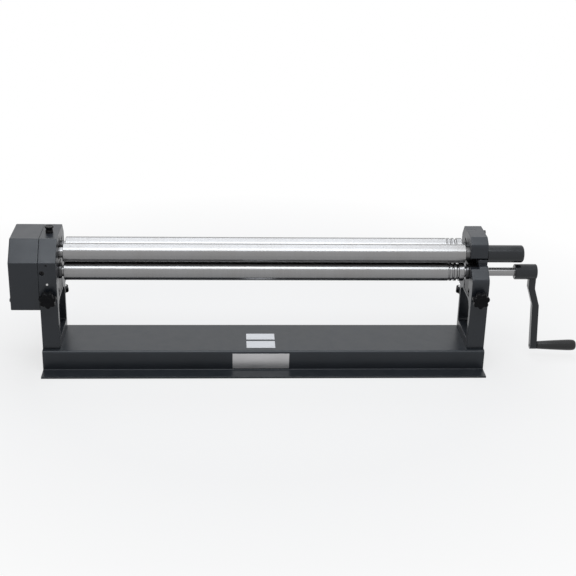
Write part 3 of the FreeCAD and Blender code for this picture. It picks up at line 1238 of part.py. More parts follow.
save("base_plate", base_plate())
save("base_ribs", *base_ribs())
save("standard_bolts", *standard_bolts())
save("standard_washers", *standard_washers())
save("left_standard", left_standard())
save("right_standard", right_standard())
save("release_cap", release_cap())
save("cap_pivot_bolt", cap_pivot_bolt())
save("cap_lock_screw", cap_lock_screw())
save("cap_lock_pad", cap_lock_pad())
save("top_roll", top_roll())
save("lower_roll", lower_roll())
save("rear_roll", rear_roll())
save("top_left_housing", top_left_housing())
save("housing_screws", *housing_screws())
save("top_left_bush", top_left_bush())
save("top_right_bush", top_right_bush())
save("lift_bar", lift_bar())
save("lift_bar_screw", lift_bar_screw())
for name, make in (("block", lower_block), ("bush", lower_bush)):
    save("lower_right_" + name, make())
    save("lower_left_" + name, mirrored(make()))
for name, make in (("block", rear_block), ("bush", rear_bush), ("screw", rear_screw), ("knob", rear_knob)):
    save("rear_right_" + name, make())
    save("rear_left_" + name, mirrored(make()))
save("right_wedge", wedge())
save("left_wedge", mirrored(wedge()))
for name, make in (("screw", front_screw), ("knob", front_knob)):
    save("front_right_" + name, make())
    save("front_left_" + name, mirrored(make()))
save("top_gear", gear(TOP_ROLL_Z, 270 + 180 / TEETH))
save("lower_gear", gear(LOW_ROLL_Z, 90))
for name, height in (("top", TOP_ROLL_Z), ("lower", LOW_ROLL_Z)):
    save(name + "_gear_key", gear_key(height))
    save(name + "_gear_screw", gear_screw(height))
save("gear_cover", gear_cover())
save("cover_studs", *cover_studs())
save("cover_screws", *cover_screws())
save("plunger_body", plunger_body())
save("plunger_pin", plunger_pin())
save("plunger_knob", plunger_knob())
save("plunger_spring", plunger_spring())
save("crank_arm", crank_arm())
save("crank_key", crank_key())
save("crank_set_screw", crank_set_screw())
save("grip_spindle", grip_spindle())
save("crank_grip", crank_grip())
save("ball_oiler", ball_oiler())
save("front_plugs", *front_plugs())
save("front_plate", front_plate())
save("top_label", *top_label())
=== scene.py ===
import bpy
import json
import math
from mathutils import Matrix, Vector


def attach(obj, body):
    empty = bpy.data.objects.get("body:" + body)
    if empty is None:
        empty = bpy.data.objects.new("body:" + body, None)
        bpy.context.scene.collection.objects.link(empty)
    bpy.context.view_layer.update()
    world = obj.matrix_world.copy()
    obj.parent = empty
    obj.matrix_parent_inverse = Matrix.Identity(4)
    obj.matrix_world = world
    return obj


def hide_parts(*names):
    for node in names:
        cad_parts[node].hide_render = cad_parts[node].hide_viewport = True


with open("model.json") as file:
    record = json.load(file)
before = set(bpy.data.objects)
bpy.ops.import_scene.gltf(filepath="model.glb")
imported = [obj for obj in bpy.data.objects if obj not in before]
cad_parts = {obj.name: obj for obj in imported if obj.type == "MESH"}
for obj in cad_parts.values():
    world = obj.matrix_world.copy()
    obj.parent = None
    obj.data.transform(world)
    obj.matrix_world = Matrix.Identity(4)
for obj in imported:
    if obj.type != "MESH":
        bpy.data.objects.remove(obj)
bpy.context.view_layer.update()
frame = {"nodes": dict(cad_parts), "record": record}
nodes = frame["nodes"]
scene = bpy.context.scene
scene.view_settings.view_transform = "Standard"
print("frame loaded:", len(nodes), "nodes")


cameraValues = {
    "place": (-0.1285, -3.4447, 1.7020),
    "turn": 3.34,          # degrees, towards the crank
    "down": 22.88,         # degrees, below level
    "roll": 1.40,          # degrees, round the line of sight
    "lens": 72.9,          # mm, on a film of the width below
    "filmWidth": 36,
    "farthest": 100,
}


def makeCamera(values):
    turn, down, roll = [math.radians(values[key]) for key in ("turn", "down", "roll")]
    ahead = Vector((math.sin(turn) * math.cos(down), math.cos(turn) * math.cos(down), -math.sin(down)))
    level = Vector((math.cos(turn), -math.sin(turn), 0))
    above = level.cross(ahead)
    right = level * math.cos(roll) + above * math.sin(roll)
    up = above * math.cos(roll) - level * math.sin(roll)
    data = bpy.data.cameras.new("benchCamera")
    data.lens = values["lens"]
    data.sensor_width = values["filmWidth"]
    data.clip_end = values["farthest"]
    camera = bpy.data.objects.new("benchCamera", data)
    turned = Matrix((right, up, -ahead)).transposed().to_4x4()
    camera.matrix_world = Matrix.Translation(values["place"]) @ turned
    scene.collection.objects.link(camera)
    scene.camera = camera


archValues = {
    "centre": (0, 0, 0.3),
    "radius": 3.0,
    "width": 2.6,          # of a panel, along the rolls
    "step": 1.10,          # of a panel, round the arch
    "panels": ((50, 2.8), (73, 2.8), (96, 3.0), (118, 5.0)),   # degrees up from the back, radiance
    "colour": (0.93, 0.965, 1.0),
}


def makeArch(values):
    # panels on an arch over the machine, all facing it
    centre = Vector(values["centre"])
    side = Vector((1, 0, 0))
    for index, (angle, radiance) in enumerate(values["panels"]):
        outward = Vector((0, math.cos(math.radians(angle)), math.sin(math.radians(angle))))
        data = bpy.data.lights.new("archPanel%d" % index, "AREA")
        data.shape = "RECTANGLE"
        data.size = values["width"]
        data.size_y = values["step"]
        data.color = values["colour"]
        data.energy = radiance * math.pi * values["width"] * values["step"]
        panel = bpy.data.objects.new(data.name, data)
        turned = Matrix((side, outward.cross(side), outward)).transposed().to_4x4()
        panel.matrix_world = Matrix.Translation(centre + outward * values["radius"]) @ turned
        scene.collection.objects.link(panel)


def addNode(tree, kind, **settings):
    node = tree.nodes.new("ShaderNode" + kind)
    for key, value in settings.items():
        setattr(node, key, value)
    return node


def feed(tree, socket, given):
    # a number or a colour is set on the socket, an output is linked to it
    if isinstance(given, (int, float, tuple)):
        socket.default_value = given
    else:
        tree.links.new(given, socket)


def addMath(tree, operation, first, second, clamp=False):
    node = addNode(tree, "Math", operation=operation, use_clamp=clamp)
    feed(tree, node.inputs[0], first)
    feed(tree, node.inputs[1], second)
    return node.outputs[0]


def addNoise(tree, place, scale, detail, rough):
    node = addNode(tree, "TexNoise")
    for title, given in (("Vector", place), ("Scale", scale), ("Detail", detail), ("Roughness", rough)):
        feed(tree, node.inputs[title], given)
    return node.outputs["Fac"]


def addRange(tree, value, low, high, newLow=0.0, newHigh=1.0):
    node = addNode(tree, "MapRange")
    for title, given in (("Value", value), ("From Min", low), ("From Max", high),
                         ("To Min", newLow), ("To Max", newHigh)):
        feed(tree, node.inputs[title], given)
    return node.outputs["Result"]


def addColourMix(tree, factor, first, second, blend="MIX"):
    # a mix node keeps its colour sockets at inputs 6 and 7 and output 2
    node = addNode(tree, "Mix", data_type="RGBA", blend_type=blend)
    feed(tree, node.inputs[0], factor)
    feed(tree, node.inputs[6], first)
    feed(tree, node.inputs[7], second)
    return node.outputs[2]


def addSeenMask(tree):
    # 1 where the camera, a shiny surface or glass looks at the background, 0 where it gives light
    path = addNode(tree, "LightPath")
    seen = addMath(tree, "MAXIMUM", path.outputs["Is Camera Ray"], path.outputs["Is Glossy Ray"])
    return addMath(tree, "MAXIMUM", seen, path.outputs["Is Transmission Ray"])


worldValues = {
    "seen": (1, 1, 1, 1),
    "fill": 0.10,
    "fillColour": (0.93, 0.97, 1.0, 1),
}


def makeWorld(values):
    # white to look at, a faint cool fill as light
    world = bpy.data.worlds.new("studio")
    scene.world = world
    world.use_nodes = True
    tree = world.node_tree
    tree.nodes.clear()
    seen = addNode(tree, "Background")
    seen.inputs["Color"].default_value = values["seen"]
    fill = addNode(tree, "Background")
    fill.inputs["Color"].default_value = values["fillColour"]
    fill.inputs["Strength"].default_value = values["fill"]
    mix = addNode(tree, "MixShader")
    out = addNode(tree, "OutputWorld")
    tree.links.new(addSeenMask(tree), mix.inputs["Fac"])
    tree.links.new(fill.outputs[0], mix.inputs[1])
    tree.links.new(seen.outputs[0], mix.inputs[2])
    tree.links.new(mix.outputs[0], out.inputs["Surface"])


makeCamera(cameraValues)
makeArch(archValues)
makeWorld(worldValues)
print("camera and light set")


def newGroup(name, inputs, outputs):
    # inputs: (name, kind, default), outputs: (name, kind)
    group = bpy.data.node_groups.new(name, "ShaderNodeTree")
    for title, kind, value in inputs:
        socket = group.interface.new_socket(name=title, in_out="INPUT", socket_type="NodeSocket" + kind)
        socket.default_value = value
    for title, kind in outputs:
        group.interface.new_socket(name=title, in_out="OUTPUT", socket_type="NodeSocket" + kind)
    start = group.nodes.new("NodeGroupInput")
    end = group.nodes.new("NodeGroupOutput")
    return group, start, end


# in the next dictionaries a noise is given as (scale, detail, roughness),
# or without the scale where the material gives that
edgeWearAndHighlightValues = {
    "samples": 6,
    "bend": (0.02, 0.22),          # how far the rounded normal leans where the worn edge and its painted highlight begin and are full
    "noise": (4, 0.62),
    "broken": (0.42, 0.60),        # noise levels between which the worn, painted-highlight line breaks up
}


def makeEdgeWearAndHighlight(values):
    # rounds sharp edges in the normal and gives a broken mask along them, for worn edges and for a painted
    # highlight along them
    group, start, end = newGroup("edgeWearAndHighlight", (
        ("Radius", "Float", 0.0012), ("Breakup Scale", "Float", 60.0), ("Amount", "Float", 0.5)),
        (("Mask", "Float"), ("Normal", "Vector")))
    links = group.links
    bevel = addNode(group, "Bevel", samples=values["samples"])
    links.new(start.outputs["Radius"], bevel.inputs["Radius"])
    shape = addNode(group, "NewGeometry")
    dot = addNode(group, "VectorMath", operation="DOT_PRODUCT")
    links.new(bevel.outputs["Normal"], dot.inputs[0])
    links.new(shape.outputs["Normal"], dot.inputs[1])
    bent = addMath(group, "SUBTRACT", 1.0, dot.outputs["Value"])
    edge = addRange(group, bent, *values["bend"])
    place = addNode(group, "TexCoord").outputs["Object"]
    noise = addNoise(group, place, start.outputs["Breakup Scale"], *values["noise"])
    mask = addMath(group, "MULTIPLY", edge, addRange(group, noise, *values["broken"]))
    mask = addMath(group, "MULTIPLY", mask, start.outputs["Amount"], True)
    links.new(mask, end.inputs["Mask"])
    links.new(bevel.outputs["Normal"], end.inputs["Normal"])
    return group


paintSkinValues = {
    "slow": (6.0, 3, 0.5),
    "slowRange": (0.35, 0.7),
    "paler": (1.45, 1.45, 1.5, 1),     # times the colour, where the drift is full
    "patch": (22.0, 5, 0.6),
    "patchRange": (0.35, 0.68),
    "peel": (2, 0.4),
    "sag": (38.0, 2, 0.4),
    "sagHeight": 1.6,                  # over the peel's height
}


def makePaintSkin(values):
    # enamel: slow colour drift, orange peel, dull patches
    group, start, end = newGroup("paintSkin", (
        ("Colour", "Color", (0.03, 0.033, 0.04, 1)), ("Drift", "Float", 0.25), ("Peel Scale", "Float", 420.0),
        ("Rough Low", "Float", 0.28), ("Rough High", "Float", 0.42)),
        (("Colour", "Color"), ("Roughness", "Float"), ("Height", "Float")))
    links = group.links
    place = addNode(group, "TexCoord").outputs["Object"]
    slow = addRange(group, addNoise(group, place, *values["slow"]), *values["slowRange"])
    amount = addMath(group, "MULTIPLY", slow, start.outputs["Drift"])
    paler = addColourMix(group, 1.0, start.outputs["Colour"], values["paler"], "MULTIPLY")
    colour = addColourMix(group, amount, start.outputs["Colour"], paler)
    patch = addNoise(group, place, *values["patch"])
    rough = addRange(group, patch, *values["patchRange"],
                     start.outputs["Rough Low"], start.outputs["Rough High"])
    peel = addNoise(group, place, start.outputs["Peel Scale"], *values["peel"])
    sag = addMath(group, "MULTIPLY", addNoise(group, place, *values["sag"]), values["sagHeight"])
    links.new(colour, end.inputs["Colour"])
    links.new(rough, end.inputs["Roughness"])
    links.new(addMath(group, "ADD", peel, sag), end.inputs["Height"])
    return group


toolMarksValues = {
    "lines": (3, 0.6),
    "wide": (260.0, 3, 0.55),
    "shade": (0.3, 0.7, 0.975, 1.015),     # noise range, then brightness range
    "patch": (9.0, 5, 0.62),
    "stainRange": (0.46, 0.75),
    "roughRange": (0.35, 0.65),
    "lineShare": 0.5,                      # of the roughness, the patches have the rest
}


def makeToolMarks(values):
    # fine cutter or grinding lines; Stretch is high along the axis that the lines repeat on
    group, start, end = newGroup("toolMarks", (
        ("Colour", "Color", (0.6, 0.58, 0.55, 1)), ("Stain Colour", "Color", (0.3, 0.26, 0.22, 1)),
        ("Stretch", "Vector", (1.0, 0.06, 0.06)), ("Line Scale", "Float", 900.0), ("Stain", "Float", 0.2),
        ("Rough Low", "Float", 0.18), ("Rough High", "Float", 0.32)),
        (("Colour", "Color"), ("Roughness", "Float"), ("Height", "Float")))
    links = group.links
    place = addNode(group, "TexCoord").outputs["Object"]
    scaled = addNode(group, "VectorMath", operation="MULTIPLY")
    links.new(place, scaled.inputs[0])
    links.new(start.outputs["Stretch"], scaled.inputs[1])
    lines = addNoise(group, scaled.outputs[0], start.outputs["Line Scale"], *values["lines"])
    wide = addNoise(group, scaled.outputs[0], *values["wide"])
    patch = addNoise(group, place, *values["patch"])
    stained = addRange(group, patch, *values["stainRange"])
    stain = addMath(group, "MULTIPLY", stained, start.outputs["Stain"], True)
    colour = addColourMix(group, stain, start.outputs["Colour"], start.outputs["Stain Colour"])
    shade = addRange(group, wide, *values["shade"])
    grey = addNode(group, "CombineColor")
    for index in range(3):
        links.new(shade, grey.inputs[index])
    colour = addColourMix(group, 1.0, colour, grey.outputs[0], "MULTIPLY")
    both = addMath(group, "ADD", addMath(group, "MULTIPLY", lines, values["lineShare"]),
                   addMath(group, "MULTIPLY", patch, 1 - values["lineShare"]))
    rough = addRange(group, both, *values["roughRange"],
                     start.outputs["Rough Low"], start.outputs["Rough High"])
    links.new(colour, end.inputs["Colour"])
    links.new(rough, end.inputs["Roughness"])
    links.new(lines, end.inputs["Height"])
    return group


dustFallValues = {
    "upward": (0.55, 0.98),        # how far a face turns up where dust begins and is full
    "noise": (6, 0.65),
    "spread": (0.38, 0.7),
}


def makeDustFall(values):
    # pale dust on what faces up
    group, start, end = newGroup("dustFall", (
        ("Amount", "Float", 0.15), ("Scale", "Float", 30.0)), (("Mask", "Float"),))
    shape = addNode(group, "NewGeometry")
    parts = addNode(group, "SeparateXYZ")
    group.links.new(shape.outputs["Normal"], parts.inputs[0])
    upward = addRange(group, parts.outputs["Z"], *values["upward"])
    place = addNode(group, "TexCoord").outputs["Object"]
    noise = addNoise(group, place, start.outputs["Scale"], *values["noise"])
    mask = addMath(group, "MULTIPLY", upward, addRange(group, noise, *values["spread"]))
    mask = addMath(group, "MULTIPLY", mask, start.outputs["Amount"], True)
    group.links.new(mask, end.inputs["Mask"])
    return group


edgeWearAndHighlight = makeEdgeWearAndHighlight(edgeWearAndHighlightValues)
paintSkin = makePaintSkin(paintSkinValues)
toolMarks = makeToolMarks(toolMarksValues)
dustFall = makeDustFall(dustFallValues)
print("shader groups built")


def useGroup(tree, group, **values):
    node = tree.nodes.new("ShaderNodeGroup")
    node.node_tree = group
    for title, value in values.items():
        node.inputs[title.replace("_", " ")].default_value = value
    return node


def newMaterial(name):
    material = bpy.data.materials.new(name)
    material.use_nodes = True
    tree = material.node_tree
    tree.nodes.clear()
    shader = addNode(tree, "BsdfPrincipled")
    out = addNode(tree, "OutputMaterial")
    tree.links.new(shader.outputs[0], out.inputs["Surface"])
    return material, tree, shader


def addBump(tree, shader, height, normal, values):
    bump = addNode(tree, "Bump")
    bump.inputs["Strength"].default_value = values["bump"]
    bump.inputs["Distance"].default_value = values["bumpHeight"]
    tree.links.new(height, bump.inputs["Height"])
    tree.links.new(normal, bump.inputs["Normal"])
    tree.links.new(bump.outputs["Normal"], shader.inputs["Normal"])


def skinMaterial(name, shared, own):
    # paint or plastic: a skin with worn edges, partly a painted edge highlight, under a little dust
    values = {**shared, **own}
    material, tree, shader = newMaterial(name)
    skin = useGroup(tree, paintSkin, Colour=values["colour"], Drift=values["drift"],
                    Peel_Scale=values["peel"], Rough_Low=values["rough"][0], Rough_High=values["rough"][1])
    edge = useGroup(tree, edgeWearAndHighlight, Radius=values["edge"], Amount=values["wearAndHighlight"],
                    Breakup_Scale=values["breakup"])
    dust = useGroup(tree, dustFall, Amount=values["dust"], Scale=values["dustScale"])
    # the pale edge colour is partly rubbed-bare wear and partly a painted highlight where the edges catch the
    # light
    wornAndHighlit = addColourMix(tree, edge.outputs["Mask"], skin.outputs["Colour"], values["bareAndHighlight"])
    dusty = addColourMix(tree, dust.outputs["Mask"], wornAndHighlit, values["dustColour"])
    tree.links.new(dusty, shader.inputs["Base Color"])
    tree.links.new(skin.outputs["Roughness"], shader.inputs["Roughness"])
    shader.inputs["Specular IOR Level"].default_value = values["gloss"]
    shader.inputs["Specular Tint"].default_value = values["tint"]
    addBump(tree, shader, skin.outputs["Height"], edge.outputs["Normal"], values)
    return material


def metalMaterial(name, shared, own):
    # bare metal: tool marks and stains, brighter on its edges
    values = {**shared, **own}
    material, tree, shader = newMaterial(name)
    marks = useGroup(tree, toolMarks, Colour=values["colour"], Stain_Colour=values["stainColour"],
                     Stretch=values["stretch"], Line_Scale=values["lines"], Stain=values["stain"],
                     Rough_Low=values["rough"][0], Rough_High=values["rough"][1])
    edge = useGroup(tree, edgeWearAndHighlight, Radius=values["edge"], Amount=values["wearAndHighlight"],
                    Breakup_Scale=values["breakup"])
    bright = addColourMix(tree, edge.outputs["Mask"], marks.outputs["Colour"], values["bright"])
    tree.links.new(bright, shader.inputs["Base Color"])
    tree.links.new(marks.outputs["Roughness"], shader.inputs["Roughness"])
    shader.inputs["Metallic"].default_value = 1.0
    addBump(tree, shader, marks.outputs["Height"], edge.outputs["Normal"], values)
    return material


# edge is the rounding of sharp edges in metres, wear how much of it is rubbed bare or painted pale as an edge
# highlight,
# rough the lowest and the highest roughness, lines and peel are scales: higher is finer
everyPaintValues = {
    "drift": 0.25, "breakup": 70.0, "tint": (0.94, 0.97, 1.0, 1), "bumpHeight": 0.00015,
    "dust": 0.02, "dustScale": 26.0, "dustColour": (0.34, 0.33, 0.31, 1),
}
# on the machine and base paint the pale edge colour and its amount are partly wear and partly a painted
# highlight along the edges
machinePaintValues = {
    "colour": (0.012, 0.014, 0.018, 1), "bareAndHighlight": (0.17, 0.175, 0.19, 1), "edge": 0.0026, "wearAndHighlight": 0.45,
    "peel": 380.0, "rough": (0.30, 0.38), "gloss": 0.42, "bump": 0.12,
}
basePaintValues = {
    "colour": (0.016, 0.019, 0.0235, 1), "bareAndHighlight": (0.17, 0.175, 0.19, 1), "edge": 0.0018, "wearAndHighlight": 0.45,
    "peel": 300.0, "rough": (0.30, 0.38), "gloss": 0.36, "bump": 0.08,
}
leverPaintValues = {
    "colour": (0.010, 0.011, 0.013, 1), "bareAndHighlight": (0.28, 0.275, 0.27, 1), "edge": 0.0012, "wearAndHighlight": 0.4,
    "peel": 420.0, "rough": (0.15, 0.22), "gloss": 0.4, "bump": 0.08,
}

everyPlasticValues = {
    "drift": 0.15, "breakup": 160.0, "tint": (1, 1, 1, 1), "bumpHeight": 0.0003,
    "bareAndHighlight": (0.11, 0.11, 0.11, 1), "edge": 0.0006,
    "dust": 0.03, "dustScale": 60.0, "dustColour": (0.3, 0.29, 0.28, 1),
}
knobPlasticValues = {
    "colour": (0.006, 0.006, 0.007, 1), "wearAndHighlight": 0.4, "peel": 700.0, "rough": (0.16, 0.26), "gloss": 0.06,
    "bump": 0.05,
}
gripPlasticValues = {
    "colour": (0.008, 0.008, 0.009, 1), "wearAndHighlight": 0.5, "peel": 900.0, "rough": (0.16, 0.24), "gloss": 0.42,
    "bump": 0.06,
}

everyMetalValues = {"wearAndHighlight": 0.35, "breakup": 110.0, "bumpHeight": 0.00006}
rollSteelValues = {
    "colour": (0.245, 0.244, 0.247, 1), "stainColour": (0.17, 0.15, 0.13, 1), "bright": (0.45, 0.44, 0.43, 1),
    "stretch": (1.0, 0.03, 0.03), "lines": 2200.0, "stain": 0.2, "rough": (0.235, 0.265), "edge": 0.0006,
    "bump": 0.03,
}
brightSteelValues = {
    "colour": (0.60, 0.60, 0.60, 1), "stainColour": (0.33, 0.31, 0.29, 1), "bright": (0.75, 0.75, 0.75, 1),
    "stretch": (1.0, 0.1, 0.1), "lines": 1400.0, "stain": 0.25, "rough": (0.18, 0.30), "edge": 0.0005,
    "bump": 0.3,
}
gearSteelValues = {
    "colour": (0.36, 0.355, 0.35, 1), "stainColour": (0.06, 0.05, 0.045, 1), "bright": (0.6, 0.6, 0.6, 1),
    "stretch": (0.3, 1.0, 1.0), "lines": 500.0, "stain": 0.7, "rough": (0.22, 0.45), "edge": 0.0006,
    "bump": 0.3,
}
blackOxideValues = {
    "colour": (0.022, 0.022, 0.024, 1), "stainColour": (0.05, 0.045, 0.04, 1), "bright": (0.2, 0.2, 0.2, 1),
    "stretch": (1.0, 1.0, 1.0), "lines": 700.0, "stain": 0.3, "rough": (0.3, 0.45), "edge": 0.0005,
    "bump": 0.2,
}
blockIronValues = {
    "colour": (0.065, 0.065, 0.068, 1), "stainColour": (0.035, 0.03, 0.026, 1),
    "bright": (0.28, 0.28, 0.28, 1), "stretch": (0.08, 1.0, 0.08), "lines": 800.0, "stain": 0.45,
    "rough": (0.38, 0.52), "edge": 0.0008, "bump": 0.4,
}
bronzeValues = {
    "colour": (0.56, 0.41, 0.21, 1), "stainColour": (0.22, 0.13, 0.06, 1), "bright": (0.78, 0.62, 0.36, 1),
    "stretch": (1.0, 0.08, 0.08), "lines": 900.0, "stain": 0.5, "rough": (0.22, 0.38), "edge": 0.0006,
    "bump": 0.3,
}
bushIronValues = {
    "colour": (0.12, 0.12, 0.124, 1), "stainColour": (0.05, 0.045, 0.04, 1), "bright": (0.42, 0.42, 0.43, 1),
    "stretch": (1.0, 0.08, 0.08), "lines": 900.0, "stain": 0.5, "rough": (0.24, 0.38), "edge": 0.0006,
    "bump": 0.3,
}
plateSilverValues = {
    "colour": (0.50, 0.495, 0.50, 1), "stainColour": (0.40, 0.39, 0.39, 1), "bright": (0.86, 0.86, 0.87, 1),
    "stretch": (0.05, 1.0, 1.0), "lines": 900.0, "stain": 0.25, "rough": (0.30, 0.42), "edge": 0.0006,
    "bump": 0.15,
}
labelSheetValues = {
    "colour": (0.46, 0.47, 0.49, 1), "stainColour": (0.36, 0.36, 0.37, 1), "bright": (0.6, 0.6, 0.61, 1),
    "stretch": (1.0, 1.0, 1.0), "lines": 1500.0, "stain": 0.3, "rough": (0.42, 0.5), "edge": 0.0003,
    "bump": 0.05,
}

slotMaterials = {
    "machine_paint": skinMaterial("machinePaint", everyPaintValues, machinePaintValues),
    "base_paint": skinMaterial("basePaint", everyPaintValues, basePaintValues),
    "lever_paint": skinMaterial("leverPaint", everyPaintValues, leverPaintValues),
    "roll_steel": metalMaterial("rollSteel", everyMetalValues, rollSteelValues),
    "bright_steel": metalMaterial("brightSteel", everyMetalValues, brightSteelValues),
    "gear_steel": metalMaterial("gearSteel", everyMetalValues, gearSteelValues),
    "black_oxide": metalMaterial("blackOxide", everyMetalValues, blackOxideValues),
    "block_iron": metalMaterial("blockIron", everyMetalValues, blockIronValues),
    "bronze": metalMaterial("bronze", everyMetalValues, bronzeValues),
    "bush_iron": metalMaterial("bushIron", everyMetalValues, bushIronValues),
    "plate_silver": metalMaterial("plateSilver", everyMetalValues, plateSilverValues),
    "label_sheet": metalMaterial("labelSheet", everyMetalValues, labelSheetValues),
    "knob_plastic": skinMaterial("knobPlastic", everyPlasticValues, knobPlasticValues),
    "grip_plastic": skinMaterial("gripPlastic", everyPlasticValues, gripPlasticValues),
}
print("materials built:", len(slotMaterials))


# the wedges sit in oil, so they look like the blocks and not like the bright screws
dressedAs = {"left_wedge": "block_iron", "right_wedge": "block_iron"}


def dressNodes():
    for part in frame["record"]["subparts"]:
        shown = nodes[part["node"]]
        shown.data.materials.clear()
        shown.data.materials.append(slotMaterials[dressedAs.get(part["node"], part["material_slot"])])


dressNodes()
print("nodes dressed")


def newPiece(name, points, faces, slotName, body, node, sharp):
    # a finer mesh shown in a node's place; edges over sharp degrees stay sharp
    mesh = bpy.data.meshes.new(name)
    mesh.from_pydata(points, [], faces)
    mesh.update()
    mesh.shade_smooth()
    mesh.set_sharp_from_angle(angle=math.radians(sharp))
    mesh.materials.append(slotMaterials[slotName])
    piece = bpy.data.objects.new(name, mesh)
    scene.collection.objects.link(piece)
    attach(piece, body)
    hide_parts(node)


def axesFor(direction):
    # two directions across and the direction itself
    along = Vector(direction).normalized()
    helper = Vector((1, 0, 0)) if abs(along.x) < 0.9 else Vector((0, 1, 0))
    first = helper.cross(along).normalized()
    return first, along.cross(first), along


def addRing(points, origin, axes, distance, reaches):
    # one ring of points round the axis, with a radius for each point
    first, second, along = axes
    for index, reach in enumerate(reaches):
        angle = 2 * math.pi * index / len(reaches)
        points.append(origin + along * distance
                      + first * reach * math.cos(angle) + second * reach * math.sin(angle))


def ringFaces(sides, rings, base=0):
    # quads from ring to ring and a cap at each end
    faces = []
    for ring in range(rings - 1):
        low = base + ring * sides
        high = low + sides
        for index in range(sides):
            following = (index + 1) % sides
            faces.append((low + index, low + following, high + following, high + index))
    last = base + (rings - 1) * sides
    faces.append(tuple(reversed(range(base, base + sides))))
    faces.append(tuple(range(last, last + sides)))
    return faces


# a point on each adjusting screw's axis, and its lean from upright towards the front in degrees
adjusterValues = {
    "front": {"x": 0.6775, "y": 0.0, "z": 0.248, "lean": -90},
    "rear": {"x": 0.6635, "y": 0.066, "z": 0.363, "lean": 18},
}
adjusters = [(row, word, side) for side, word in ((-1, "Left"), (1, "Right")) for row in ("front", "rear")]


def adjusterLine(row, side):
    # the axis point and the way in which the screw pushes
    values = adjusterValues[row]
    lean = math.radians(values["lean"])
    point = Vector((side * values["x"], values["y"], values["z"]))
    return point, Vector((0, -math.sin(lean), math.cos(lean)))


# the distances run along the axis from its point
screwValues = {
    "front": {"radius": 0.006, "pitch": 0.00175, "depth": 0.0009, "threadStart": -0.1105,
              "threadEnd": -0.0343, "neck": 0.004, "neckEnd": -0.0287, "head": 0.0055, "headEnd": -0.0247},
    "rear": {"radius": 0.008, "pitch": 0.002, "depth": 0.0010, "threadStart": -0.18642,
             "threadEnd": -0.0283, "neck": 0.005, "neckEnd": -0.0237, "head": 0.007, "headEnd": -0.0197,
             "hexLow": -0.17222, "hexHigh": -0.15822, "hexAcross": 0.024},
    "sides": 28,
    "ringsPerTurn": 6,
    "flat": 0.12,              # share of the pitch that is flat, at the crest and at the root
    "taper": 0.35,             # of the pitch, where each end of the thread narrows
    "taperDepth": 0.8,         # of the thread's depth
    "neckStart": -0.001,       # from the thread's end, inside it
    "headStep": 0.0001,
    "headChamfer": 0.0006,
    "hexSides": 48,
    "hexChamfer": ((0.0, 0.95), (0.0004, 0.99), (0.0022, 1.2)),   # from the end, cone radius over half across
    "sharp": 40,
}


def addThread(points, origin, axes, values):
    # each ring point's radius follows the helix
    start, end, pitch, depth = [values[key] for key in ("threadStart", "threadEnd", "pitch", "depth")]
    sides, flat, taper = [screwValues[key] for key in ("sides", "flat", "taper")]
    steps = int((end - start) / (pitch / screwValues["ringsPerTurn"]))
    for step in range(steps + 1):
        distance = start + (end - start) * step / steps
        fade = min(1.0, (distance - start) / pitch, (end - distance) / pitch)
        outer = values["radius"] - depth * screwValues["taperDepth"] * max(0.0, 1 - fade / taper)
        reaches = []
        for index in range(sides):
            turn = (distance / pitch - index / sides) % 1.0
            height = (abs(turn - 0.5) * 2 - flat) / (1 - 2 * flat)
            reaches.append(outer - depth * (1 - max(0.0, min(1.0, height))) * max(0.0, fade))
        addRing(points, origin, axes, distance, reaches)
    return steps + 1


def addNeckAndHead(points, faces, origin, axes, values):
    neck, head, neckEnd, headEnd = [values[key] for key in ("neck", "head", "neckEnd", "headEnd")]
    chamfer, sides, base = screwValues["headChamfer"], screwValues["sides"], len(points)
    profile = ((values["threadEnd"] + screwValues["neckStart"], neck),
               (neckEnd - screwValues["headStep"], neck),
               (neckEnd, head - chamfer), (neckEnd + chamfer, head),
               (headEnd - chamfer, head), (headEnd, head - chamfer))
    for distance, radius in profile:
        addRing(points, origin, axes, distance, [radius] * sides)
    faces.extend(ringFaces(sides, len(profile), base))


def addHex(points, faces, origin, axes, values):
    # a hexagon collar with its corners turned down by a cone at both ends
    low, high, flat = values["hexLow"], values["hexHigh"], values["hexAcross"] / 2
    cone, sides, base = screwValues["hexChamfer"], screwValues["hexSides"], len(points)
    reaches = []
    for index in range(sides):
        angle = 2 * math.pi * index / sides
        fromFlat = (angle + math.pi / 6) % (math.pi / 3) - math.pi / 6
        reaches.append(flat / math.cos(fromFlat))
    rings = [(low + inset, share) for inset, share in cone]
    rings += [(high - inset, share) for inset, share in reversed(cone)]
    for distance, share in rings:
        addRing(points, origin, axes, distance, [min(reach, flat * share) for reach in reaches])
    faces.extend(ringFaces(sides, len(rings), base))


def makeScrew(name, node, body, origin, direction, values):
    axes = axesFor(direction)
    points = []
    rings = addThread(points, origin, axes, values)
    faces = ringFaces(screwValues["sides"], rings)
    addNeckAndHead(points, faces, origin, axes, values)
    if "hexLow" in values:
        addHex(points, faces, origin, axes, values)
    newPiece(name, points, faces, "bright_steel", body, node, screwValues["sharp"])


for row, word, side in adjusters:
    corner = "%s_%s" % (row, word.lower())
    origin, direction = adjusterLine(row, side)
    makeScrew("%s%sScrew" % (row, word), corner + "_screw", corner + "_adjuster", origin, direction,
              screwValues[row])
print("screws built:", len(adjusters))


def starShape(lobes, lobePoints, valley):
    # radius shares round one turn: broad lobes with narrower hollows between them
    shape = []
    for index in range(lobes * lobePoints):
        wave = 0.5 + 0.5 * math.cos(2 * math.pi * index / lobePoints)
        shape.append(valley + (1 - valley) * wave ** 0.72)
    return shape


def starPoints(origin, axes, profile, shape):
    # profile: (distance, radius, star), where star is 0 for a round ring and 1 for full hollows
    points = []
    for distance, radius, star in profile:
        addRing(points, origin, axes, distance, [radius * (1 - star + star * share) for share in shape])
    return points


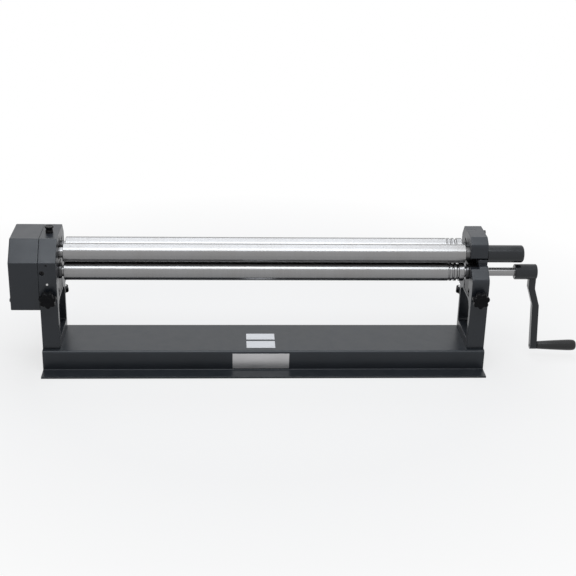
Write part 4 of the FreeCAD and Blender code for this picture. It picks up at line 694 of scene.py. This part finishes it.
knobValues = {
    "front": {"radius": 0.028, "thick": 0.021, "hub": 0.003, "back": -0.096},
    "rear": {"radius": 0.021, "thick": 0.018, "hub": 0.0022, "back": -0.17442},   # back is on the axis
    "lobes": 7,
    "lobePoints": 16,
    "valley": 0.80,            # hollow radius over lobe radius
    "hubShare": 0.46,          # hub radius over lobe radius
    "hubEnd": (0.0005, 0.93),  # chamfer's length, radius share
    "hubFoot": (0.0004, 1.04),
    # shares of the thickness and of the radius: rim rows (height, inset), dish rows (height, radius, star)
    "rim": ((0.0, 0.10), (0.02, 0.035), (0.07, 0.008), (0.16, 0.0), (0.45, 0.0), (0.62, 0.004),
            (0.74, 0.018), (0.84, 0.05), (0.92, 0.10), (0.975, 0.17), (1.0, 0.27)),
    "dish": ((1.0, 0.60, 0.35), (0.985, 0.47, 0), (0.93, 0.42, 0), (0.905, 0.36, 0), (0.90, 0.20, 0),
             (0.90, 0.02, 0)),
    "sharp": 55,
}


def makeKnob(name, node, body, origin, direction, values):
    # rings run from the back hub over the rim to the dished front; direction points out of the front
    radius, thick, hub = values["radius"], values["thick"], values["hub"]
    hubRadius = knobValues["hubShare"] * radius
    endLength, endShare = knobValues["hubEnd"]
    footLength, footShare = knobValues["hubFoot"]
    profile = [(-hub, hubRadius * endShare, 0), (-hub + endLength, hubRadius, 0),
               (-footLength, hubRadius, 0), (0.0, hubRadius * footShare, 0)]
    profile += [(thick * share, radius * (1 - inset), 1) for share, inset in knobValues["rim"]]
    profile += [(thick * share, radius * across, star) for share, across, star in knobValues["dish"]]
    shape = starShape(knobValues["lobes"], knobValues["lobePoints"], knobValues["valley"])
    points = starPoints(origin, axesFor(direction), profile, shape)
    newPiece(name, points, ringFaces(len(shape), len(profile)), "knob_plastic", body, node,
             knobValues["sharp"])


for row, word, side in adjusters:
    corner = "%s_%s" % (row, word.lower())
    origin, direction = adjusterLine(row, side)
    values = knobValues[row]
    makeKnob("%s%sKnob" % (row, word), corner + "_knob", corner + "_adjuster",
             origin + direction * values["back"], -direction, values)
print("knobs built:", len(adjusters))


plungerValues = {
    "x": -0.680, "y": 0.026,
    "low": 0.4325, "discLow": 0.439, "top": 0.444,     # heights over the bench
    "skirt": 0.011, "disc": 0.014,                     # radii
    "lobes": 8,
    "lobePoints": 12,
    "valley": 0.90,            # hollow radius over lobe radius
    "skirtFoot": ((0.0, 0.92, 0), (0.0006, 1.0, 0)),   # rise from the height, over the radius, star
    "skirtTop": ((-0.0012, 0.97, 0), (-0.0002, 1.03, 0)),
    "discFoot": ((0.0, 0.90, 0.7), (0.0005, 0.985, 1), (0.0012, 1.0, 1)),
    "discTop": ((-0.0016, 1.0, 1), (-0.0006, 0.975, 1), (-0.0001, 0.92, 1), (0.0, 0.84, 0.7),
                (-0.0002, 0.70, 0), (-0.0007, 0.62, 0), (-0.0009, 0.40, 0), (-0.0009, 0.03, 0)),
    "sharp": 50,
}


def makePlungerKnob(values):
    # a plain skirt under a thin disc with finger hollows and a shallow dish
    low, discLow, top, skirt, disc = [values[key] for key in ("low", "discLow", "top", "skirt", "disc")]
    profile = []
    for height, radius, rows in ((low, skirt, "skirtFoot"), (discLow, skirt, "skirtTop"),
                                 (discLow, disc, "discFoot"), (top, disc, "discTop")):
        profile += [(height + rise, radius * share, star) for rise, share, star in values[rows]]
    shape = starShape(values["lobes"], values["lobePoints"], values["valley"])
    axes = Vector((1, 0, 0)), Vector((0, 1, 0)), Vector((0, 0, 1))
    points = starPoints(Vector((values["x"], values["y"], 0)), axes, profile, shape)
    newPiece("plungerKnob", points, ringFaces(len(shape), len(profile)), "knob_plastic", "plunger",
             "plunger_knob", values["sharp"])


makePlungerKnob(plungerValues)
print("plunger knob built")


floorValues = {
    "size": 14.0,              # from the middle to a side
    "below": 0.0006,           # under the machine's feet
    "colour": (0.62, 0.62, 0.63, 1), "rough": 0.9, "gloss": 0.1,
    "near": 0.74,              # share of plain white by the machine, the rest shows the shadow
    "fadeStart": 0.75, "fadeEnd": 1.7,
}


def makeFloor(values):
    # pale paper that turns plain white away from the machine
    half = values["size"]
    mesh = bpy.data.meshes.new("floor")
    corners = [(-half, -half), (half, -half), (half, half), (-half, half)]
    mesh.from_pydata([(x, y, -values["below"]) for x, y in corners], [], [(0, 1, 2, 3)])
    floor = bpy.data.objects.new("floor", mesh)
    scene.collection.objects.link(floor)
    material, tree, shader = newMaterial("floorPaper")
    links = tree.links
    shader.inputs["Base Color"].default_value = values["colour"]
    shader.inputs["Roughness"].default_value = values["rough"]
    shader.inputs["Specular IOR Level"].default_value = values["gloss"]
    white = addNode(tree, "Emission")
    distance = addNode(tree, "VectorMath", operation="LENGTH")
    links.new(addNode(tree, "TexCoord").outputs["Object"], distance.inputs[0])
    fade = addRange(tree, distance.outputs["Value"], values["fadeStart"], values["fadeEnd"],
                    values["near"], 1.0)
    mix = addNode(tree, "MixShader")
    links.new(addMath(tree, "MULTIPLY", addSeenMask(tree), fade), mix.inputs["Fac"])
    links.new(shader.outputs[0], mix.inputs[1])
    links.new(white.outputs[0], mix.inputs[2])
    out = next(node for node in tree.nodes if node.type == "OUTPUT_MATERIAL")
    links.new(mix.outputs[0], out.inputs["Surface"])
    mesh.materials.append(material)


makeFloor(floorValues)
print("floor laid")

print("finished")
